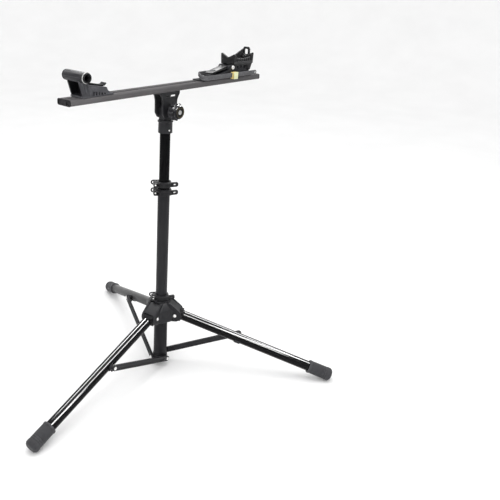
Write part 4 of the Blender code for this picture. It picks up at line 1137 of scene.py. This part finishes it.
def make_pad():
    """The rubber rest: a slab, two tall horned ends, and a row of lower teeth between them."""
    body = slab((0.2556, -0.0254, 0.0368), (0.3450, 0.0254, 0.0452), 0.0012)
    tall = saddle_rib(0.0662, 0.0560, 0.0264)
    ribs = [plate(tall, x, x + 0.0062, "X", 0.0009) for x in (0.2551, 0.3391)]
    ribs += [plate(saddle_rib(0.0622, 0.0536, 0.0255), x, x + 0.0036, "X", 0.0008) for x in (0.2628, 0.3340)]
    for i in range(7):
        x = 0.2700 + 0.0088 * i
        dip = 0.0546 - 0.0012 * math.sin(math.pi * i / 6)
        ribs.append(plate(saddle_rib(dip - 0.0010, dip - 0.0070, 0.0250), x, x + 0.0046, "X", 0.0009))
    for side in (-1, 1):
        wall = [(0.2580, 0.0420), (0.3430, 0.0420), (0.3435, 0.0640), (0.3330, 0.0560, 0.01)]
        wall += [(0.3000, 0.0500, 0.02), (0.2690, 0.0560, 0.01), (0.2575, 0.0640)]
        low, high = sorted((side * 0.0200, side * 0.0236))
        ribs.append(plate(rounded(wall, 0.0014, steps=6), low, high, "Y", 0.0009))
    web = [(0.3060, 0.0480), (0.3440, 0.0480), (0.3440, 0.0760), (0.3060, 0.0600)]
    ribs.append(plate(rounded(web, 0.0014), 0.0125, 0.0160, "Y", 0.0009))
    for side in (-1, 1):
        skirt = [(0.2600, 0.0420), (0.2600, 0.0330), (0.3180, 0.0330), (0.3250, 0.0180), (0.3330, 0.0180)]
        skirt += [(0.3440, 0.0420)]
        low, high = sorted((side * 0.0221, side * 0.0250))
        ribs.append(plate(rounded(skirt, 0.0016), low, high, "Y", 0.0009))
    piece("rubber_rest", united(body, *ribs), PAD_RUBBER, "cradle_pad", ON_BEAM)


def make_cradle():
    outline = [(0.1280, 0.0003), (0.3460, 0.0003), (0.3460, 0.0125, 0.002), (0.3310, 0.0145, 0.004)]
    outline += [(0.3215, 0.0366, 0.001), (0.2435, 0.0366, 0.001), (0.2385, 0.0305, 0.002)]
    outline += [(0.2385, 0.0222, 0.002)]
    outline += [(0.1730, 0.0068, 0.003), (0.1680, 0.0030, 0.003), (0.1280, 0.0030, 0.001)]
    body = plate(rounded(outline, 0.0008, steps=6), -0.0217, 0.0217, "Y", 0.0009)
    well = slab((0.2300, -0.0137, 0.0248), (0.2580, 0.0137, 0.06), 0.0008)
    pivot = cradle_lever_pivot()
    body = carved(body, well, stud(0.0033, -0.05, 0.05, "Y", pivot))
    pockets = []
    for x in (0.2700, 0.2860, 0.3020):
        shape = [(x, 0.0245), (x + 0.0115, 0.0245), (x + 0.0115, 0.0335), (x, 0.0335)]
        pockets += side_pockets(rounded(shape, 0.0015), 0.0190)
    body = united(carved(body, *pockets), slider_foot(0.1350, 0.3300))
    piece("cradle_slider", body, HUB_PLASTIC, "cradle_base", ON_BEAM)
    make_pad()

    outline = [(-0.0085, 0.0060), (0.0165, 0.0060), (0.0169, 0.0745, 0.004), (0.0128, 0.0812, 0.003)]
    outline += [(-0.0048, 0.0812, 0.003), (-0.0089, 0.0745, 0.004)]
    window = rounded([(-0.0020, 0.0600), (0.0100, 0.0600), (0.0100, 0.0750), (-0.0020, 0.0750)], 0.0030)
    tab = plate(rounded(outline, 0.0012), 0.3461, 0.3505, "X", 0.0010, [window])
    stiffeners = []
    for v in (-0.0030, 0.0040, 0.0110):
        shape = [(v - 0.001, 0.0180), (v + 0.001, 0.0180), (v + 0.001, 0.0560), (v - 0.001, 0.0560)]
        stiffeners.append(plate(rounded(shape, 0.0008), 0.3495, 0.3512, "X", 0.0005))
    piece("upright_loop", united(tab, *stiffeners), HUB_PLASTIC, "cradle_tab", ON_BEAM)

    ends = []
    for side in (-1, 1):
        head = [(0, 0.0218), (0.0056, 0.0218), (0.0060, 0.0224), (0.0060, 0.0246), (0.0052, 0.0256)]
        head += [(0.0022, 0.0256), (0.0022, 0.0240), (0, 0.0240)]
        head = [(r, side * y) for r, y in rounded(head, 0.0003, closed=False, steps=3)]
        ends.append(lathe(head, "Y", pivot, 48))
    shank = stud(0.0030, -0.0222, 0.0222, "Y", pivot, 0.0002)
    piece("lever_pin", united(shank, *ends), ZINC, "cradle_bolt", ON_BEAM)

    outline = arc(pivot, 0.0046, -100, 100, 20)
    ramp = [(0.2425, 0.0350), (0.1740, 0.0200, 0.004), (0.1710, 0.0172, 0.0012), (0.1730, 0.0150)]
    outline += rounded(ramp, 0, False, 6) + [(0.2440, 0.0262)]
    lever = plate(outline, -0.0132, 0.0132, "Y", 0.0010)
    lever = carved(lever, stud(0.0033, -0.05, 0.05, "Y", pivot))
    sizes = {"Count": 5, "Pitch": 0.0034, "Rib_Radius": 0.0008, "Rib_Length": 0.0180}
    grips = lying(grown(RIBS_IN_LINE, Material=CAP_PLASTIC, **sizes), (0.1800, 0, 0.0211), -12.5)
    piece("ramp_lever", gathered(lever, grips), CAP_PLASTIC, "cradle_lever", ON_BEAM)
    make_strap()


def strap_path():
    """The middle line of the strap: fixed behind, round the slider, and forward through the buckle."""
    path = [(0.3050, 0.0236), (0.2900, 0.0240, 0.03), (0.2600, 0.0290, 0.03), (0.2200, STRAP_V, 0.03)]
    path += [(0.1640, STRAP_V, 0.0105), (0.1110, -STRAP_V, 0.0105), (0.3480, -STRAP_V)]
    return rounded(path, 0, closed=False, steps=14)


def risen(mesh):
    """Lifts the strap's far run a little above its near one."""
    for vert in mesh.vertices:
        vert.co.z += STRAP_RISE * (vert.co.y + STRAP_V) / (2 * STRAP_V)
    return mesh


def make_strap():
    middle = (STRAP_LOW + STRAP_HIGH) / 2
    curve = bpy.data.curves.new("strap_line", "CURVE")
    curve.dimensions = "3D"
    spline = curve.splines.new("POLY")
    path = strap_path()
    spline.points.add(len(path) - 1)
    for point, (x, y) in zip(spline.points, path):
        point.co = (x, y, middle, 1)
    sizes = {"Strap_Thickness": 0.0024, "Strap_Width": STRAP_HIGH - STRAP_LOW}
    sizes |= {"Tooth_Pitch": 0.0034, "Tooth_Radius": 0.0006, "Material": STRAP_RUBBER}
    band = risen(grown(TOOTHED_STRAP, curve, **sizes))
    wide = (STRAP_HIGH - STRAP_LOW) / 2
    tip = [(0.3465, -wide), (0.3570, -wide, 0.005), (0.3570, wide, 0.005), (0.3465, wide)]
    tip = [(x, z + middle, *size) for x, z, *size in tip]
    hole = circle((0.3508, middle), 0.0042)
    eye = plate(rounded(tip, 0.0002), -STRAP_V - 0.0013, -STRAP_V + 0.0013, "Y", 0.0006, [hole])
    piece("toothed_strap", gathered(band, eye), STRAP_RUBBER, "cradle_strap", ON_BEAM)

    body = slab((0.2405, -0.0362, -0.0008), (0.2605, -0.0266, 0.0182), 0.0012)
    low = (0.2, -STRAP_V - 0.0021, STRAP_LOW - 0.0005)
    high = (0.3, 0.0021 - STRAP_V, STRAP_HIGH + 0.0005)
    body = carved(body, slab(low, high, 0.0003))
    piece("buckle_frame", body, GOLD_PLASTIC, "buckle", ON_BEAM)
    hinge = JOINTS["buckle_lever_lift"]["pos_m"]
    at = (hinge[1] - MAST.y, hinge[2] - BEAM_TOP)
    foot = [(-0.0404, 0.0000, 0.0015), (-0.0394, -0.0015), (-0.0376, 0.0000)]
    outline = arc(at, 0.0013, 0, 180, 12) + rounded(foot, 0.0006)
    flap = plate(outline, 0.2413, 0.2597, "X", 0.0006)
    sizes = {"Count": 5, "Pitch": 0.0032, "Rib_Radius": 0.0005, "Rib_Length": 0.0090}
    ribs = grown(RIBS_IN_LINE, Material=PALE_YELLOW, **sizes)
    ribs.transform(Matrix.Translation((0.2441, -0.0400, 0.0080)))
    piece("buckle_flap", gathered(flap, ribs), PALE_YELLOW, "buckle_lever", ON_BEAM)


# Studio

def make_floor():
    """A pale floor that curves up into a backdrop all round."""
    profile = [(0, 0.0), (5.0, 0.0)]
    profile += [(r, z) for r, z in arc((5.0, 3.0), 3.0, -90, 0, 12)] + [(8.0, 6.0)]
    bm = bmesh.new()
    sides = 96
    rings = []
    for radius, height in profile:
        count = sides if radius else 1
        turns = [2 * math.pi * i / sides for i in range(count)]
        spots = [(radius * math.cos(t), radius * math.sin(t), height - 0.0005) for t in turns]
        rings.append([bm.verts.new(spot) for spot in spots])
    for first, second in zip(rings, rings[1:]):
        for i in range(sides):
            corners = [first[i % len(first)], second[i % len(second)]]
            corners += [second[(i + 1) % sides % len(second)], first[(i + 1) % sides % len(first)]]
            bm.faces.new(list(dict.fromkeys(corners)))
    mesh = bpy.data.meshes.new("floor")
    bm.to_mesh(mesh)
    bm.free()
    mesh.shade_smooth()
    material, tree, shader = finish("pale_floor", specular=0.2)
    paper = noise(tree, texture_place(tree), 3.0, 3)
    colour = mixed(tree, ranged(tree, paper, 0, 1), (0.90, 0.90, 0.90), (0.93, 0.93, 0.93))
    tree.links.new(colour, shader.inputs["Base Color"])
    shader.inputs["Roughness"].default_value = 0.8
    mesh.materials.append(material)
    floor = bpy.data.objects.new("studio_floor", mesh)
    bpy.context.scene.collection.objects.link(floor)


def softbox(name, place, target, size, power, along=(0, 0, 1), only_on=None):
    """A rectangular light facing its target, with its second side along a direction.

    The camera doesn't see it, and it can be kept to one collection of pieces.
    """
    light = bpy.data.lights.new(name, "AREA")
    light.shape = "RECTANGLE"
    light.size, light.size_y = size
    light.energy = power
    item = bpy.data.objects.new(name, light)
    facing = (Vector(place) - Vector(target)).normalized()
    across = Vector(along).cross(facing).normalized()
    matrix = Matrix((across, facing.cross(across), facing)).transposed().to_4x4()
    matrix.translation = place
    item.matrix_world = matrix
    item.visible_camera = False
    bpy.context.scene.collection.objects.link(item)
    if only_on:
        item.light_linking.receiver_collection = only_on
    return item


STRIP_SIZE = (0.50, 3.2)
STRIP_WATTS = 860
GLINT_WATTS = 70
WORLD_STRENGTH = 1.08


def make_lights():
    """Soft panels, one more for the beam, and strips seen only as reflections in glossy and satin pieces."""
    middle = (MAST.x, MAST.y, 0.45)
    softbox("top_soft", (0.1, -0.2, 3.3), middle, (2.4, 2.4), 42, (0, 1, 0))
    softbox("side_soft", (-2.2, -1.2, 1.9), middle, (1.0, 1.6), 14)
    low = (0, -0.1, 0.1)
    glossy = bpy.data.collections.new("glossy_pieces")
    for name in ("leg_1_shaft", "leg_2_shaft", "leg_3_shaft", "hand_knob"):
        glossy.objects.link(bpy.data.objects[name])
    satin = bpy.data.collections.new("satin_pieces")
    names = ["tilt_yoke", "mast_head", "hub_moulding", "rubber_rest", "ramp_lever", "fork_barrel"]
    for clamp in ("hub", "lower", "upper"):
        names += [f"{clamp}_quick_lever", f"{clamp}_clamp_ring"]
    for name in names:
        satin.objects.link(bpy.data.objects[name])
    beam = bpy.data.collections.new("beam_only")
    beam.objects.link(bpy.data.objects["beam_extrusion"])
    place, fork_end = (MAST.x - 1.0, MAST.y - 0.8, 1.30), (MAST.x - 0.30, MAST.y, BEAM_TOP)
    softbox("beam_soft", place, fork_end, (0.5, 0.5), 14, only_on=beam)
    for number, place, along in (
        (1, (1.00, -1.60, 2.45), (1, 0, 0)),
        (2, (0.62, 1.52, 2.45), (1, 0, 0)),
        (3, (1.85, 0.40, 2.45), (0.6, -0.8, 0)),
        (4, (-0.90, -1.65, 2.45), (0.6, -0.8, 0)),
    ):
        for kind, power, pieces in (("strip", STRIP_WATTS, glossy), ("glint", GLINT_WATTS, satin)):
            strip = softbox(f"{kind}_{number}", place, low, STRIP_SIZE, power, along, pieces)
            strip.visible_diffuse = False
    world = bpy.data.worlds.new("studio_air")
    world.use_nodes = True
    background = world.node_tree.nodes["Background"]
    background.inputs["Color"].default_value = (1.0, 1.0, 1.0, 1)
    background.inputs["Strength"].default_value = WORLD_STRENGTH
    bpy.context.scene.world = world


def make_camera():
    """Looks down across the beam from the knob's side, framed a little off centre."""
    heading, pitch, roll = (math.radians(a) for a in (43.25, -21.55, 1.781))
    ahead = math.cos(pitch)
    forward = Vector((math.cos(heading) * ahead, math.sin(heading) * ahead, math.sin(pitch)))
    level = Vector((math.sin(heading), -math.cos(heading), 0))
    above = level.cross(forward)
    right = level * math.cos(roll) + above * math.sin(roll)
    up = above * math.cos(roll) - level * math.sin(roll)
    data = bpy.data.cameras.new("view")
    data.sensor_width = 36.0
    data.lens = 45.90
    data.shift_x, data.shift_y = 0.150, -0.050
    camera = bpy.data.objects.new("view", data)
    matrix = Matrix((right, up, -forward)).transposed().to_4x4()
    matrix.translation = Vector((MAST.x - 1.2436, MAST.y - 1.2181, 1.1639))
    camera.matrix_world = matrix
    bpy.context.scene.collection.objects.link(camera)
    bpy.context.scene.camera = camera


make_camera()
make_hub()
make_rivets()
make_legs()
make_collar()
make_tubes()
make_clamps()
make_socket()
make_yoke()
make_knob()
make_beam()
make_fork_mount()
make_cradle()
make_floor()
make_lights()
bpy.context.scene.view_settings.view_transform = "Standard"
